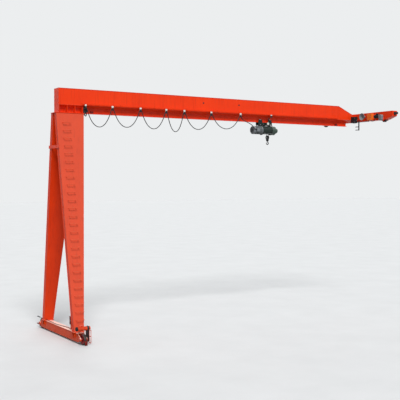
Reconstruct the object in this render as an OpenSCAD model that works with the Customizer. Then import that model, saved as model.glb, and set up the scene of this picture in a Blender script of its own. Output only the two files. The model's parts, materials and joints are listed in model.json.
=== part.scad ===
// Semi-gantry crane: a box girder that runs on a raised runway at one end and
// stands on an A-shaped leg pair and a ground carriage at the other.
// X runs along the girder from the legs to the runway, Y along the travel, Z up.
// The origin is the middle of the ground beam's flat underside. Millimetres.

/* [Crane] */
// Distance between the middles of the ground rail and the runway rail
span = 15350; // [12000:50:20000]
// Height of the girder's top above the ground beam's underside
girder_top = 9632; // [8000:10:12000]
// Distance between the two wheel axles of each carriage
wheelbase = 4160; // [3600:10:5200]

/* [Girder] */
// Width of the box across its webs
girder_w = 450; // [380:10:600]
// Height of the box's upright webs
web_h = 643; // [500:1:900]
// Height of the two plates that slope in below the webs
skirt_h = 60; // [40:1:120]
// Depth of the rolled beam that the hoist runs on
i_beam_h = 248; // [200:1:360]
// Width of the rolled beam's flanges
i_beam_w = 150; // [126:1:200]
// Thickness of the rolled beam's flanges
i_flange_t = 15; // [10:1:24]
// Thickness of the rolled beam's web
i_web_t = 10; // [8:1:16]
// Thickness of the box's plates
plate_t = 8; // [6:1:16]
// How far the box's top plate stands out past each web
top_lip = 12; // [0:1:40]
// How far the girder runs past the leg side of the ground rail
girder_tail = 190; // [100:10:600]
// Length of the slope down to the runway end
nose_l = 1045; // [700:5:1600]
// Height of the nose's tip below the girder's top
nose_drop = 450; // [300:5:560]
// Length of the cut back under the nose's tip
nose_cut = 385; // [200:5:600]
// Height of the nose's upright end
nose_end_h = 180; // [120:5:280]

/* [Legs] */
// Width of each leg along the girder at its head
leg_head_w = 1158; // [700:2:1500]
// Width of each leg along the girder at its foot
leg_foot_w = 400; // [300:2:700]
// Thickness of each leg along the travel
leg_t = 200; // [140:2:300]
// Distance of each leg's outer face from the middle at the head
leg_head_y = 250; // [215:1:400]
// Distance of each leg's outer face from the middle at the foot
leg_foot_y = 1650; // [1200:5:1900]
// How far the head stands out past the ground rail on the outer side
leg_head_out = 316; // [250:2:500]
// How far the foot stands out past the ground rail on the outer side
leg_foot_out = 190; // [150:2:350]
// Thickness of the plates at the legs' heads and feet
leg_plate_t = 20; // [12:1:30]
// How far a leg's wide plates stand out past its narrow ones
leg_lip = 12; // [0:1:30]
// Height of the tie plate's middle
tie_z = 7345; // [6000:5:8000]
// Height of the tie plate
tie_h = 120; // [80:5:300]

/* [Ladder] */
// Distance between rungs
rung_pitch = 300; // [250:5:350]
// Length of each rung
rung_l = 330; // [300:5:400]
// Diameter of the rung bar
rung_d = 20; // [16:1:25]
// Distance of each rung from the leg's face
rung_gap = 120; // [100:5:160]
// Height of the lowest rung
rung_first_z = 780; // [500:10:1200]

/* [Ground carriage] */
// Height of the beam with its top plate
beam_h = 320; // [280:5:400]
// Width of the beam across its sides
beam_w = 260; // [200:5:360]
// Thickness of the beam's top plate
beam_top_t = 16; // [10:1:24]
// How far the beam's top plate stands out past each side
beam_lip = 15; // [0:1:40]
// Distance from the beam's underside down to the rail's head
rail_drop = 60; // [40:5:120]
// Diameter of a ground wheel's tread
wheel_d = 360; // [300:5:460]
// Width of a ground wheel's tread
tread_w = 70; // [60:1:100]
// Thickness of each wheel flange
flange_t = 18; // [12:1:25]
// How far a wheel flange stands past the tread
flange_h = 20; // [12:1:30]
// Diameter of a ground wheel's axle
axle_d = 70; // [50:1:100]
// Thickness of each cheek plate beside a wheel
cheek_t = 20; // [12:1:30]

/* [Runway carriage] */
// Distance from the girder's top down to the runway rail's head
runway_drop = 822; // [740:2:1400]
// Height of the carriage box
carriage_h = 380; // [300:5:460]
// Height of the carriage box at its ends
carriage_end_h = 240; // [180:5:300]
// Width of the carriage box
carriage_w = 300; // [240:5:400]
// Distance from the rail's head up to the box's underside
carriage_gap = 90; // [70:1:160]
// How far the carriage box runs past each wheel's axle
carriage_tail = 640; // [400:5:900]
// Diameter of a runway wheel's tread
runway_wheel_d = 250; // [200:5:320]
// Diameter of a runway wheel's axle
runway_axle_d = 55; // [40:1:80]
// Length of each buffer
buffer_l = 160; // [100:5:400]
// Diameter of a buffer
buffer_d = 120; // [80:5:160]
// Diameter of the warning horn's mouth
horn_d = 340; // [200:10:400]

/* [Hoist] */
// Place of the hoist's middle along the girder
hoist_x = 9830; // [9000:10:10200]
// How far the hoist runs towards the legs from there
travel_left = 8150; // [4000:50:8150]
// How far the hoist runs towards the runway from there
travel_right = 3900; // [1000:50:3900]
// Diameter of the drum's housing
drum_d = 400; // [370:5:440]
// Wall of the drum's housing
housing_t = 10; // [6:1:16]
// Height of the drum's middle below the rolled beam
drum_drop = 355; // [350:5:600]
// Length of the drum's housing
drum_l = 510; // [460:10:900]
// Diameter of the hoist's motor
motor_d = 370; // [320:5:400]
// Length of the hoist's motor
motor_l = 510; // [440:10:640]
// Length of the hoist's gearbox and brake
gearbox_l = 370; // [340:10:500]
// Diameter of a trolley wheel's tread
trolley_wheel_d = 110; // [90:1:160]
// Distance between the trolley's two axles
trolley_axles = 540; // [500:5:760]
// Gap between the drum's housing and the hook block at the top of the lift
hook_gap = 12; // [10:1:2000]
// Diameter of the hook block's sheave, at the rope's middle
sheave_d = 150; // [140:5:220]
// Diameter of the wire rope
rope_d = 11; // [8:1:13]
// Distance between turns of rope on the drum
groove_pitch = 14; // [12:0.5:20]

/* [Festoon] */
// Diameter of the hanging cable
cable_d = 28; // [20:1:40]
// Length of cable between two trolleys (mm)
loop_cable = 2080; // [1700:20:3000]
// Distance of the track's middle from the girder's middle
track_y = 300; // [270:5:400]

/* [Hidden] */
$fn = 48;
trolley_names = [for (i = [1:6]) str("cable_trolley_", i)];

// Clearances that keep neighbouring pieces on different bodies apart
run_gap = 0.3;
shaft_gap = 0.06;

// Heights of the girder's levels
fold_z = girder_top - web_h;
i_top_z = fold_z - skirt_h;
i_low_z = i_top_z - i_beam_h;

// The girder's ends along X
girder_x0 = -girder_tail;
nose_x1 = span - carriage_w / 2 - leg_plate_t;
nose_x0 = nose_x1 - nose_l;
nose_low_x = nose_x1 - nose_cut;
nose_z = girder_top - nose_drop;

// Sizes of the flat bars and small plates
bar_t = 12;
plate_edge = 20;

// The legs run from the ground beam's top plate to the head plate
leg_z0 = beam_h + leg_plate_t;
leg_z1 = i_low_z - leg_plate_t;
leg_rise = leg_z1 - leg_z0;
leg_lean = atan((leg_foot_y - leg_head_y) / leg_rise);
leg_run = leg_rise / cos(leg_lean);
function leg_y(z) = leg_foot_y + (leg_head_y - leg_foot_y) * (z - leg_z0) / leg_rise;
function leg_left(z) = -(leg_foot_out + (leg_head_out - leg_foot_out) * (z - leg_z0) / leg_rise);
function leg_width(z) = leg_foot_w + (leg_head_w - leg_foot_w) * (z - leg_z0) / leg_rise;

wheel_y = wheelbase / 2;
axle_z = wheel_d / 2 - rail_drop;
runway_rail_z = girder_top - runway_drop;
runway_axle_z = runway_rail_z + runway_wheel_d / 2;
carriage_z0 = runway_rail_z + carriage_gap;
carriage_z1 = carriage_z0 + carriage_h;
carriage_end = wheel_y + carriage_tail;
carriage_x0 = span - carriage_w / 2;

// The hoist's drum hangs under the rolled beam, and the hook hangs under the drum
drum_z = i_low_z - drum_drop;
drum_x0 = hoist_x - 153;
// The falls hang from a groove past the drum's middle
drum_flange_t = 14;
rope_turn = floor((drum_l / 2 + 100) / groove_pitch) - 3;
hook_x = drum_x0 + housing_t + run_gap + drum_flange_t + groove_pitch * (rope_turn + 1.5);
sheave_rim_d = sheave_d + rope_d + 12;
sheave_z = drum_z - drum_d / 2 - hook_gap - sheave_rim_d / 2 - 12;

// The colours, as the crane shows them
crane_red = [0.94, 0.26, 0.11];
dark_red = [0.55, 0.08, 0.05];
motor_grey = [0.42, 0.44, 0.46];
drum_green = [0.10, 0.17, 0.15];
black = [0.08, 0.08, 0.08];
steel = [0.65, 0.66, 0.68];
white = [0.92, 0.92, 0.90];

module along_y(l) { translate([0, l / 2, 0]) rotate([90, 0, 0]) linear_extrude(l) children(); }
module along_x(l) { rotate([90, 0, 90]) linear_extrude(l) children(); }
module rod_x(d, l) { rotate([0, 90, 0]) cylinder(d = d, h = l); }
module rod_y(d, l) { rotate([-90, 0, 0]) cylinder(d = d, h = l); }
module mid_box(size) { translate([-size[0] / 2, -size[1] / 2, 0]) cube(size); }
module turned_x(points) { rotate([0, 90, 0]) rotate_extrude() polygon(points); }

// A ring of cooling ribs, as the outline of one motor shell; the end pieces stand just past them
rib_t = 5;
rib_under = 2;
function polar(r, a) = [r * cos(a), r * sin(a)];
module ribbed_section(d, rib_h, ribs) {
    outer = d / 2 - rib_under;
    root = outer - rib_h;
    outer_a = asin(rib_t / (2 * outer));
    root_a = asin(rib_t / (2 * root));
    polygon([for (i = [0:ribs - 1]) let (a = 360 * i / ribs) each [
        polar(root, a - root_a), polar(outer, a - outer_a),
        polar(outer, a + outer_a), polar(root, a + root_a)]]);
}

// A motor along X that starts at the fan's cowl and ends in a round shield
module finned_motor(d, l, rib_h, ribs, cowl_l, shield_l) {
    translate([cowl_l - rib_under, 0, 0])
        along_x(l - cowl_l - shield_l + 2 * rib_under) ribbed_section(d, rib_h, ribs);
    translate([l - shield_l, 0, 0]) rod_x(d, shield_l);
}
module fan_cowl(d, l) {
    edge = l / 4;
    vent = 4;
    turned_x([
        [0, 0], [d * 0.12, 0], [d * 0.12, vent], [d * 0.2, vent], [d * 0.2, 0],
        [d * 0.25, 0], [d * 0.25, vent], [d * 0.33, vent], [d * 0.33, 0],
        [d / 2 - edge, 0], [d / 2, edge], [d / 2, l], [0, l]]);
}

// Girder
module girder_section() {
    half = girder_w / 2;
    polygon([
        [-half - top_lip, girder_top], [-half - top_lip, girder_top - plate_t],
        [-half, girder_top - plate_t], [-half, fold_z],
        [-i_beam_w / 2, i_top_z], [i_beam_w / 2, i_top_z],
        [half, fold_z], [half, girder_top - plate_t],
        [half + top_lip, girder_top - plate_t], [half + top_lip, girder_top]]);
}

module nose_profile(z0) {
    polygon([
        [girder_x0, z0], [girder_x0, girder_top], [nose_x0, girder_top],
        [nose_x1, nose_z], [nose_x1, nose_z - nose_end_h],
        [nose_low_x, i_low_z], [nose_low_x, z0]]);
}

// The nose's sloping top plate stands out past the webs as the flat one does
module nose_plate() {
    along_y(girder_w + 2 * top_lip) polygon([
        [nose_x0, girder_top], [nose_x1, nose_z],
        [nose_x1, nose_z - plate_t], [nose_x0, girder_top - plate_t]]);
}

module girder_box() {
    color(crane_red) {
        intersection() {
            translate([girder_x0, 0, 0]) along_x(nose_x1 - girder_x0) girder_section();
            along_y(2 * girder_w) nose_profile(0);
        }
        nose_plate();
    }
}

module i_section() {
    for (z = [i_low_z, i_top_z - i_flange_t])
        translate([-i_beam_w / 2, z]) square([i_beam_w, i_flange_t]);
    translate([-i_web_t / 2, i_low_z]) square([i_web_t, i_beam_h]);
}

module hoist_beam() {
    color(crane_red) translate([girder_x0, 0, 0]) along_x(nose_low_x - girder_x0) i_section();
}

module girder_end_plate() {
    color(crane_red) translate([girder_x0 - plate_t, -girder_w / 2 - top_lip, i_low_z])
        cube([plate_t, girder_w + 2 * top_lip, girder_top - i_low_z]);
}

// The stops stand just past the trolley wheels at both ends of the travel
stop_l = 120;
stop_w = 60;
stop_h = 90;
stop_gap = 8;
wheel_rim = 12;
stop_reach = trolley_axles / 2 + trolley_wheel_d / 2 + wheel_rim + stop_gap + stop_l / 2;
stop_left_x = hoist_x - travel_left - stop_reach;
stop_right_x = hoist_x + travel_right + stop_reach;
module trolley_stops() {
    z0 = i_low_z + i_flange_t;
    color(dark_red) for (x = [stop_left_x, stop_right_x], side = [-1, 1])
        translate([x - stop_l / 2, side * (i_web_t + i_beam_w) / 4 - stop_w / 2, z0])
            cube([stop_l, stop_w, stop_h]);
}

// Legs
module leg_head_plate() {
    color(crane_red) translate([-leg_head_out - plate_edge, -leg_head_y - plate_edge, leg_z1])
        cube([leg_head_w + 2 * plate_edge, 2 * (leg_head_y + plate_edge), leg_plate_t]);
}

// Four pairs of gussets carry the box's sides down to the head plate
module leg_head_gussets() {
    x0 = girder_x0 + plate_edge;
    x1 = leg_head_w - leg_head_out - plate_edge - bar_t;
    color(crane_red) for (i = [0:3], side = [-1, 1])
        translate([x0 + (x1 - x0) * i / 3, 0, 0])
            along_x(bar_t) polygon([
                [side * i_beam_w / 2, i_low_z], [side * (leg_head_y - bar_t), i_low_z],
                [side * girder_w / 2, fold_z], [side * i_beam_w / 2, i_top_z]]);
}

// The leg's tapered outline along its own slope, a little longer than the leg
module leg_outline(inset) {
    z_low = leg_z0 - leg_t;
    z_high = leg_z1 + leg_t;
    slope = leg_run / leg_rise;
    polygon([
        [leg_left(z_low) + inset, (z_low - leg_z0) * slope],
        [leg_left(z_low) + leg_width(z_low) - inset, (z_low - leg_z0) * slope],
        [leg_left(z_high) + leg_width(z_high) - inset, (z_high - leg_z0) * slope],
        [leg_left(z_high) + inset, (z_high - leg_z0) * slope]]);
}

// Two wide plates with lips, and the narrow sides between them
module leg_shell() {
    linear_extrude(leg_t) leg_outline(leg_lip);
    for (z = [0, leg_t - plate_t]) translate([0, 0, z]) linear_extrude(plate_t) leg_outline(0);
}

foot_edge = 35;
module leg(side) {
    foot_y = side > 0 ? leg_foot_y - leg_t - foot_edge : -leg_foot_y - foot_edge;
    color(crane_red) intersection() {
        translate([0, side * leg_foot_y, leg_z0])
            rotate([side * leg_lean, 0, 0])
                translate([0, side > 0 ? 0 : leg_t, 0])
                    rotate([90, 0, 0]) leg_shell();
        translate([-leg_head_w, -2 * leg_foot_y, leg_z0])
            cube([3 * leg_head_w, 4 * leg_foot_y, leg_rise]);
    }
    color(crane_red) translate([foot_x0, foot_y, beam_h])
        cube([foot_x1 - foot_x0, leg_t + 2 * foot_edge, leg_plate_t]);
}
foot_x0 = -leg_foot_out - plate_edge;
foot_x1 = leg_foot_w - leg_foot_out + plate_edge;
module near_leg() { leg(-1); }
module far_leg() { leg(1); }

// The tie plate lies on the outer edges of both legs, above its own height's widest place
tie_t = 16;
tie_past = 60;
module leg_tie_plate() {
    half = leg_y(tie_z) + tie_past;
    edge_x = leg_left(tie_z + tie_h / 2 + leg_t * sin(leg_lean));
    color(crane_red) translate([edge_x - tie_t / 2 - run_gap, 0, tie_z - tie_h / 2])
        mid_box([tie_t, 2 * half, tie_h]);
}

rung_top_gap = 150;
rung_count = floor((leg_z1 - rung_first_z - rung_top_gap) / rung_pitch) + 1;
ladder_shift = 56;
rung_mid_x = leg_foot_w / 2 - leg_foot_out + ladder_shift;
module ladder_rungs() {
    color(crane_red) for (i = [0:rung_count - 1]) {
        z = rung_first_z + i * rung_pitch;
        translate([rung_mid_x - rung_l / 2, -leg_y(z) - rung_gap, z]) rod_x(rung_d, rung_l);
    }
}
post_d = rung_d * 0.8;
module rung_posts() {
    color(crane_red) for (i = [0:rung_count - 1], side = [-1, 1]) {
        z = rung_first_z + i * rung_pitch;
        translate([rung_mid_x + side * (rung_l / 2 - rung_d), -leg_y(z) - rung_gap + rung_d / 2, z])
            rod_y(post_d, rung_gap - rung_d / 2 - post_d / 2 * tan(leg_lean) - run_gap);
    }
}

// Ground carriage
beam_gap = 15;
beam_x = beam_w / 2;
beam_end = wheel_y - wheel_d / 2 - flange_h - beam_gap;

// Brackets carry the legs' foot plates where these reach past the beam
bracket_low_z = 70;
bracket_edge = 10;
bracket_tip_h = 25;
bracket_step_y = 80;
module foot_bracket(x_end) {
    s = sign(x_end);
    root = s * (beam_x - bracket_edge);
    tip = x_end - s * bracket_edge;
    polygon([
        [root, bracket_low_z], [s * beam_x, bracket_low_z],
        [tip, beam_h - bracket_tip_h], [tip, beam_h], [root, beam_h]]);
}
module ground_beam() {
    color(crane_red) {
        translate([-beam_x, -beam_end, 0]) cube([beam_w, 2 * beam_end, beam_h - beam_top_t]);
        translate([-beam_x - beam_lip, -beam_end, beam_h - beam_top_t])
            cube([beam_w + 2 * beam_lip, 2 * beam_end, beam_top_t]);
        for (side = [-1, 1], step = [-bracket_step_y, bracket_step_y], x_end = [foot_x0, foot_x1])
            translate([0, side * (leg_foot_y - leg_t / 2) + step, 0]) along_y(bar_t) foot_bracket(x_end);
    }
}

cheek_r = 80;
cheek_x = beam_x - cheek_t;
axle_past = 10;
cap_d = 150;
cap_l = 30;
cap_edge = 8;
cap_space = axle_past + 6;
module bearing_cap() {
    turned_x([
        [0, 0], [cap_d / 2 - cap_edge, 0], [cap_d / 2, cap_edge], [cap_d / 2, cap_l], [0, cap_l]]);
}

// A cheek plate with the axle's bore; the drive's side has no cap, because the gearbox sits there
module cheek(s, side, capped) {
    outer = s * beam_x;
    difference() {
        union() {
            translate([min(s * cheek_x, outer), 0, 0]) along_x(cheek_t) {
                translate([side * wheel_y, axle_z]) circle(cheek_r);
                polygon([
                    [side * beam_end, 0], [side * beam_end, beam_h - beam_top_t],
                    [side * wheel_y, axle_z + cheek_r], [side * wheel_y, axle_z - cheek_r]]);
            }
            if (capped) translate([outer + s * cap_l, side * wheel_y, axle_z]) scale([-s, 1, 1]) bearing_cap();
        }
        translate([min(s * (cheek_x - 1), s * (beam_x + 1)), side * wheel_y, axle_z])
            rod_x(axle_d + 2 * shaft_gap, cheek_t + 2);
        if (capped) translate([min(outer, outer + s * cap_space), side * wheel_y, axle_z])
            rod_x(axle_d + 2 * axle_past, cap_space);
    }
}
module wheel_cheeks() {
    color(dark_red) for (side = [-1, 1], s = [-1, 1]) cheek(s, side, side > 0 || s < 0);
}

web_recess = 15;
module flanged_wheel(tread_d, tread, flange, rim_h, shaft_d, shaft_l) {
    w = tread + 2 * flange;
    hub_r = shaft_d * 0.9;
    rotate([0, 90, 0]) {
        difference() {
            translate([0, 0, -w / 2]) union() {
                cylinder(d = tread_d, h = w);
                cylinder(d = tread_d + 2 * rim_h, h = flange);
                translate([0, 0, w - flange]) cylinder(d = tread_d + 2 * rim_h, h = flange);
            }
            for (s = [-1, 1]) translate([0, 0, s * w / 2]) rotate_extrude()
                translate([hub_r, -web_recess]) square([tread_d * 0.42 - hub_r, 2 * web_recess]);
        }
        translate([0, 0, -shaft_l / 2]) cylinder(d = shaft_d, h = shaft_l);
    }
}

module ground_wheel(side) {
    color(dark_red) translate([0, side * wheel_y, axle_z])
        flanged_wheel(wheel_d, tread_w, flange_t, flange_h, axle_d, 2 * (beam_x + axle_past));
}
module near_ground_wheel() { ground_wheel(-1); }
module far_ground_wheel() { ground_wheel(1); }

// The near wheel's drive: an upright gearbox on the cheek, and a motor across the beam's end
gear_w = 80;
gear_d = 170;
gear_lip = 12;
gear_lip_t = 14;
gear_boss = 12;
ground_motor_z = beam_h + 210;
ground_motor_d = 160;
module gear_outline(y, z0, z1, d) {
    for (z = [z0, z1]) translate([y, z]) circle(d = d);
    translate([y - d / 2, z0]) square([d, z1 - z0]);
}
module ground_gearbox() {
    color(black) difference() {
        union() {
            translate([beam_x, 0, 0]) along_x(gear_w)
                gear_outline(-wheel_y, axle_z, ground_motor_z, gear_d);
            translate([beam_x + (gear_w - gear_lip_t) / 2, 0, 0]) along_x(gear_lip_t)
                gear_outline(-wheel_y, axle_z, ground_motor_z, gear_d + 2 * gear_lip);
            translate([beam_x + gear_w, -wheel_y, axle_z]) rod_x(cap_d, gear_boss);
        }
        translate([beam_x - 1, -wheel_y, axle_z]) rod_x(axle_d + 2 * axle_past, cap_space + 1);
    }
}

motor_x0 = -300;
fan_l = 60;
shield_l = 30;
small_rib_h = 10;
small_ribs = 24;
brake_l = 50;
module ground_motor() {
    translate([motor_x0, -wheel_y, ground_motor_z]) {
        color(crane_red) finned_motor(ground_motor_d, beam_x - motor_x0, small_rib_h, small_ribs, fan_l, shield_l);
        color(black) fan_cowl(ground_motor_d, fan_l);
    }
    color(crane_red) translate([beam_x + gear_w + brake_l, -wheel_y, ground_motor_z]) scale([-1, 1, 1])
        fan_cowl(ground_motor_d, brake_l);
}

guard_bar = 28;
guard_w = 180;
guard_h = 500;
guard_low_z = 0;
module drive_guard() {
    window = [guard_w - 2 * guard_bar, (guard_h - 3 * guard_bar) / 2];
    color(crane_red)
        translate([beam_x + gear_w - 2 * bar_t, -wheel_y - gear_d / 2 - guard_w, guard_low_z]) along_x(bar_t)
            difference() {
                square([guard_w, guard_h]);
                for (z = [guard_bar, 2 * guard_bar + window[1]]) translate([guard_bar, z]) square(window);
            }
}

// The control box stands on two legs, with its door to the outer side under a small roof
stand_h = 210;
stand_leg = [30, 20];
control_y = -1080;
control_size = [160, 130, 295];
door_t = 6;
door_edge = 10;
roof_past = 14;
roof_h = 26;
module control_box() {
    color(dark_red) translate([-control_size[0] / 2, control_y, beam_h + stand_h]) {
        cube(control_size);
        translate([-door_t, door_edge, door_edge])
            cube([door_t, control_size[1] - 2 * door_edge, control_size[2] - 2 * door_edge]);
        translate([0, control_size[1] / 2, control_size[2]]) along_y(control_size[1] + 2 * roof_past)
            polygon([[-roof_past, 0], [control_size[0] + roof_past, 0],
                [control_size[0] + roof_past, roof_h], [-roof_past, roof_h / 2]]);
    }
}
module control_box_stand() {
    color(crane_red) for (s = [-1, 1])
        translate([s * (control_size[0] / 2 - stand_leg[0]) - stand_leg[0] / 2,
            control_y + (control_size[1] - stand_leg[1]) / 2, beam_h])
            cube([stand_leg[0], stand_leg[1], stand_h]);
}

// A rod past the beam's far end carries two round stops for the travel limit
switch_base = [40, 40, 60];
switch_rod_d = 16;
switch_rod_l = 480;
switch_stop_d = 50;
module limit_switch_arm() {
    rod_y0 = beam_end - switch_base[1] / 2;
    color(black) {
        translate([-beam_x - switch_base[0] / 2, beam_end - switch_base[1], beam_h]) cube(switch_base);
        translate([-beam_x, rod_y0, beam_h + switch_base[2] - switch_rod_d / 2]) {
            rod_y(switch_rod_d, switch_rod_l);
            for (y = [switch_rod_l / 2, switch_rod_l - switch_base[1]])
                translate([0, y, 0]) rod_y(switch_stop_d, switch_base[1]);
        }
    }
}

// Runway carriage
wheel_slot = runway_wheel_d + 90;
wheel_slot_h = runway_wheel_d + 40;
axle_box = 150;
axle_box_t = 20;
module carriage_outline() {
    taper_y = wheel_y + wheel_slot / 2 + 30;
    end_z = carriage_z1 - carriage_end_h;
    polygon([
        [-carriage_end, carriage_z1], [carriage_end, carriage_z1], [carriage_end, end_z],
        [taper_y, carriage_z0], [-taper_y, carriage_z0], [-carriage_end, end_z]]);
}
module runway_carriage() {
    full_w = carriage_w + 2 * axle_box_t;
    color(crane_red) difference() {
        union() {
            translate([carriage_x0, 0, 0]) along_x(carriage_w) carriage_outline();
            for (side = [-1, 1]) translate([span, side * wheel_y, runway_axle_z - axle_box / 2])
                mid_box([full_w, axle_box, axle_box]);
        }
        for (side = [-1, 1]) {
            translate([span, side * wheel_y, runway_rail_z - 1])
                mid_box([carriage_w - 2 * cheek_t, wheel_slot, wheel_slot_h + 1]);
            translate([span - full_w / 2 - 1, side * wheel_y, runway_axle_z])
                rod_x(runway_axle_d + 2 * shaft_gap, full_w + 2);
        }
    }
    color(crane_red) translate([nose_x1, -girder_w / 2 - plate_edge, carriage_z0])
        cube([leg_plate_t, girder_w + 2 * plate_edge, carriage_h]);
}

runway_tread_w = 60;
runway_flange = 15;
module runway_wheel(side) {
    color(dark_red) translate([span, side * wheel_y, runway_axle_z])
        flanged_wheel(runway_wheel_d, runway_tread_w, runway_flange, runway_flange, runway_axle_d,
            carriage_w + 2 * (axle_box_t + axle_past));
}
module near_runway_wheel() { runway_wheel(-1); }
module far_runway_wheel() { runway_wheel(1); }

// The near runway wheel's drive: a gearbox on the axle box, with a motor along the carriage
drive_w = 150;
drive_d = 150;
drive_rise = 130;
drive_x0 = carriage_x0 - axle_box_t - drive_w;
drive_z = runway_axle_z + drive_rise;
drive_flange_y = -wheel_y + drive_d / 2 + 20;
runway_motor_d = 160;
runway_motor_l = 330;
module runway_gearbox() {
    color(motor_grey) difference() {
        union() {
            translate([drive_x0, 0, 0]) along_x(drive_w)
                gear_outline(-wheel_y, runway_axle_z, drive_z, drive_d);
            translate([drive_x0, -wheel_y, drive_z - drive_d / 2])
                cube([drive_w, drive_flange_y + wheel_y, drive_d]);
        }
        translate([drive_x0 + drive_w - cap_space, -wheel_y, runway_axle_z])
            rod_x(runway_axle_d + 2 * axle_past, cap_space + 1);
    }
}
module runway_motor() {
    color(black) translate([drive_x0 + drive_w / 2, drive_flange_y + runway_motor_l, drive_z])
        rotate([0, 0, -90]) {
            finned_motor(runway_motor_d, runway_motor_l, small_rib_h, small_ribs, fan_l, shield_l);
            fan_cowl(runway_motor_d, fan_l);
        }
}

module carriage_buffers() {
    foot_l = 20;
    color(black) for (side = [-1, 1])
        translate([span, side * carriage_end, carriage_z1 - carriage_end_h / 2]) scale([1, side, 1]) {
            rod_y(buffer_d + 40, foot_l);
            rod_y(buffer_d, buffer_l);
        }
}

// The collector's post hangs in front of the carriage, with two shoes on short arms
post = 40;
post_y = -540;
post_drop = 420;
shoe_size = [36, 200, 30];
shoe_step = 150;
module collector_arm() {
    color(black) translate([carriage_x0 - post, post_y, carriage_z0 - post_drop]) {
        cube([post, post, post_drop + 2 * post]);
        for (z = [0, shoe_step]) translate([0, 0, z]) {
            translate([-2 * post, 0, 0]) cube([2 * post, post, shoe_size[2]]);
            translate([-2 * post - shoe_size[0], (post - shoe_size[1]) / 2, 0]) cube(shoe_size);
        }
    }
}

carriage_box_size = [150, 280, 310];
carriage_box_y = -1490;
module carriage_box() {
    color([1.0, 0.45, 0.1]) translate([carriage_x0 - carriage_box_size[0], carriage_box_y, carriage_z0 + 20]) {
        cube(carriage_box_size);
        translate([-door_t, door_edge, door_edge])
            cube([door_t, carriage_box_size[1] - 2 * door_edge, carriage_box_size[2] - 2 * door_edge]);
    }
}

// The horn's bell opens towards the girder's span
horn_l = 200;
horn_y = -900;
horn_wall = 14;
horn_base_d = 90;
module warning_horn() {
    mouth = horn_d / 2;
    color(motor_grey) translate([carriage_x0 - horn_l, horn_y, carriage_z0 + 210]) turned_x([
        [0, horn_l * 0.55], [mouth * 0.2, horn_l * 0.5], [mouth * 0.55, horn_l * 0.25], [mouth - horn_wall, 0],
        [mouth, 0], [mouth, horn_wall], [mouth * 0.65, horn_l * 0.33], [mouth * 0.35, horn_l * 0.6],
        [horn_base_d / 2, horn_l * 0.75], [horn_base_d / 2, horn_l], [0, horn_l]]);
}

junction_size = [240, 200, 300];
module junction_box() {
    color(black) translate([nose_x1 - junction_size[0] - 10, -girder_w / 2 - junction_size[1], carriage_z0 - 60]) {
        cube(junction_size);
        translate([door_edge, -door_t, door_edge])
            cube([junction_size[0] - 2 * door_edge, door_t, junction_size[2] - 2 * door_edge]);
    }
}

// Festoon
track_w = 40;
track_wall = 3;
track_slot = 16;
track_z = fold_z + track_w;
track_x0 = 750;
track_x1 = nose_x0 - 100;
module festoon_track() {
    color(crane_red) translate([track_x0, -track_y, track_z]) along_x(track_x1 - track_x0)
        difference() {
            translate([-track_w / 2, 0]) square(track_w);
            translate([-track_w / 2 + track_wall, track_wall]) square(track_w - 2 * track_wall);
            translate([-track_slot / 2, -1]) square([track_slot, track_wall + 2]);
        }
}
bracket_pitch = 1560;
bracket_t = 8;
module track_brackets() {
    color(dark_red) for (x = [track_x0 + 100:bracket_pitch:track_x1])
        translate([x, -track_y - track_w / 2, track_z + track_w])
            cube([track_w, track_y + track_w / 2 - girder_w / 2, bracket_t]);
}

// Where the cable is held along the girder: the anchor, then the six trolleys
hold_x = [900, 2070, 3340, 4550, 5430, 6790, 8330];
tow_x = hoist_x + 200;
trolley_l = 90;
runner_t = 12;
roller_d = 24;
roller_w = 8;
neck_h = 60;
saddle = [60, 50, 50];
carrier_z = track_z - neck_h - saddle[2];
module cable_saddle() { translate([-saddle[0] / 2, -saddle[1] / 2, carrier_z]) cube(saddle); }
module track_runner(low_z) {
    floor_z = track_z + track_wall + run_gap;
    translate([-trolley_l / 2, -runner_t / 2, low_z]) cube([trolley_l, runner_t, floor_z + roller_d - low_z - 4]);
    for (s = [-1, 1], y = [-runner_t / 2 - roller_w, runner_t / 2])
        translate([s * roller_d, y, floor_z + roller_d / 2]) rod_y(roller_d, roller_w);
}
module cable_trolley(i) {
    color(white) translate([hold_x[i], -track_y, 0]) {
        track_runner(carrier_z + saddle[2]);
        cable_saddle();
    }
}
module cable_anchor() {
    color(dark_red) translate([hold_x[0], -track_y, 0]) {
        translate([-saddle[0] / 2, -saddle[1] / 2, track_z - neck_h]) cube([saddle[0], saddle[1], neck_h]);
        cable_saddle();
    }
}

// The tow arm reaches from the hoist's near side plate out to the track
tow_w = 40;
tow_t = 8;
module tow_trolley() {
    arm_z = fold_z - skirt_h - tow_w;
    plate_y = side_plate_y + side_plate_t;
    foot_z = i_low_z - plate_low + tow_w;
    color(white) translate([tow_x, -track_y, 0]) track_runner(arm_z);
    color(drum_green) translate([tow_x - tow_w / 2, -track_y + runner_t / 2, arm_z])
        cube([tow_w, track_y - runner_t / 2 - plate_y, runner_t]);
    color(drum_green) translate([tow_x - tow_w / 2, -plate_y - tow_t, foot_z])
        cube([tow_w, tow_t, arm_z - foot_z]);
}

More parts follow.
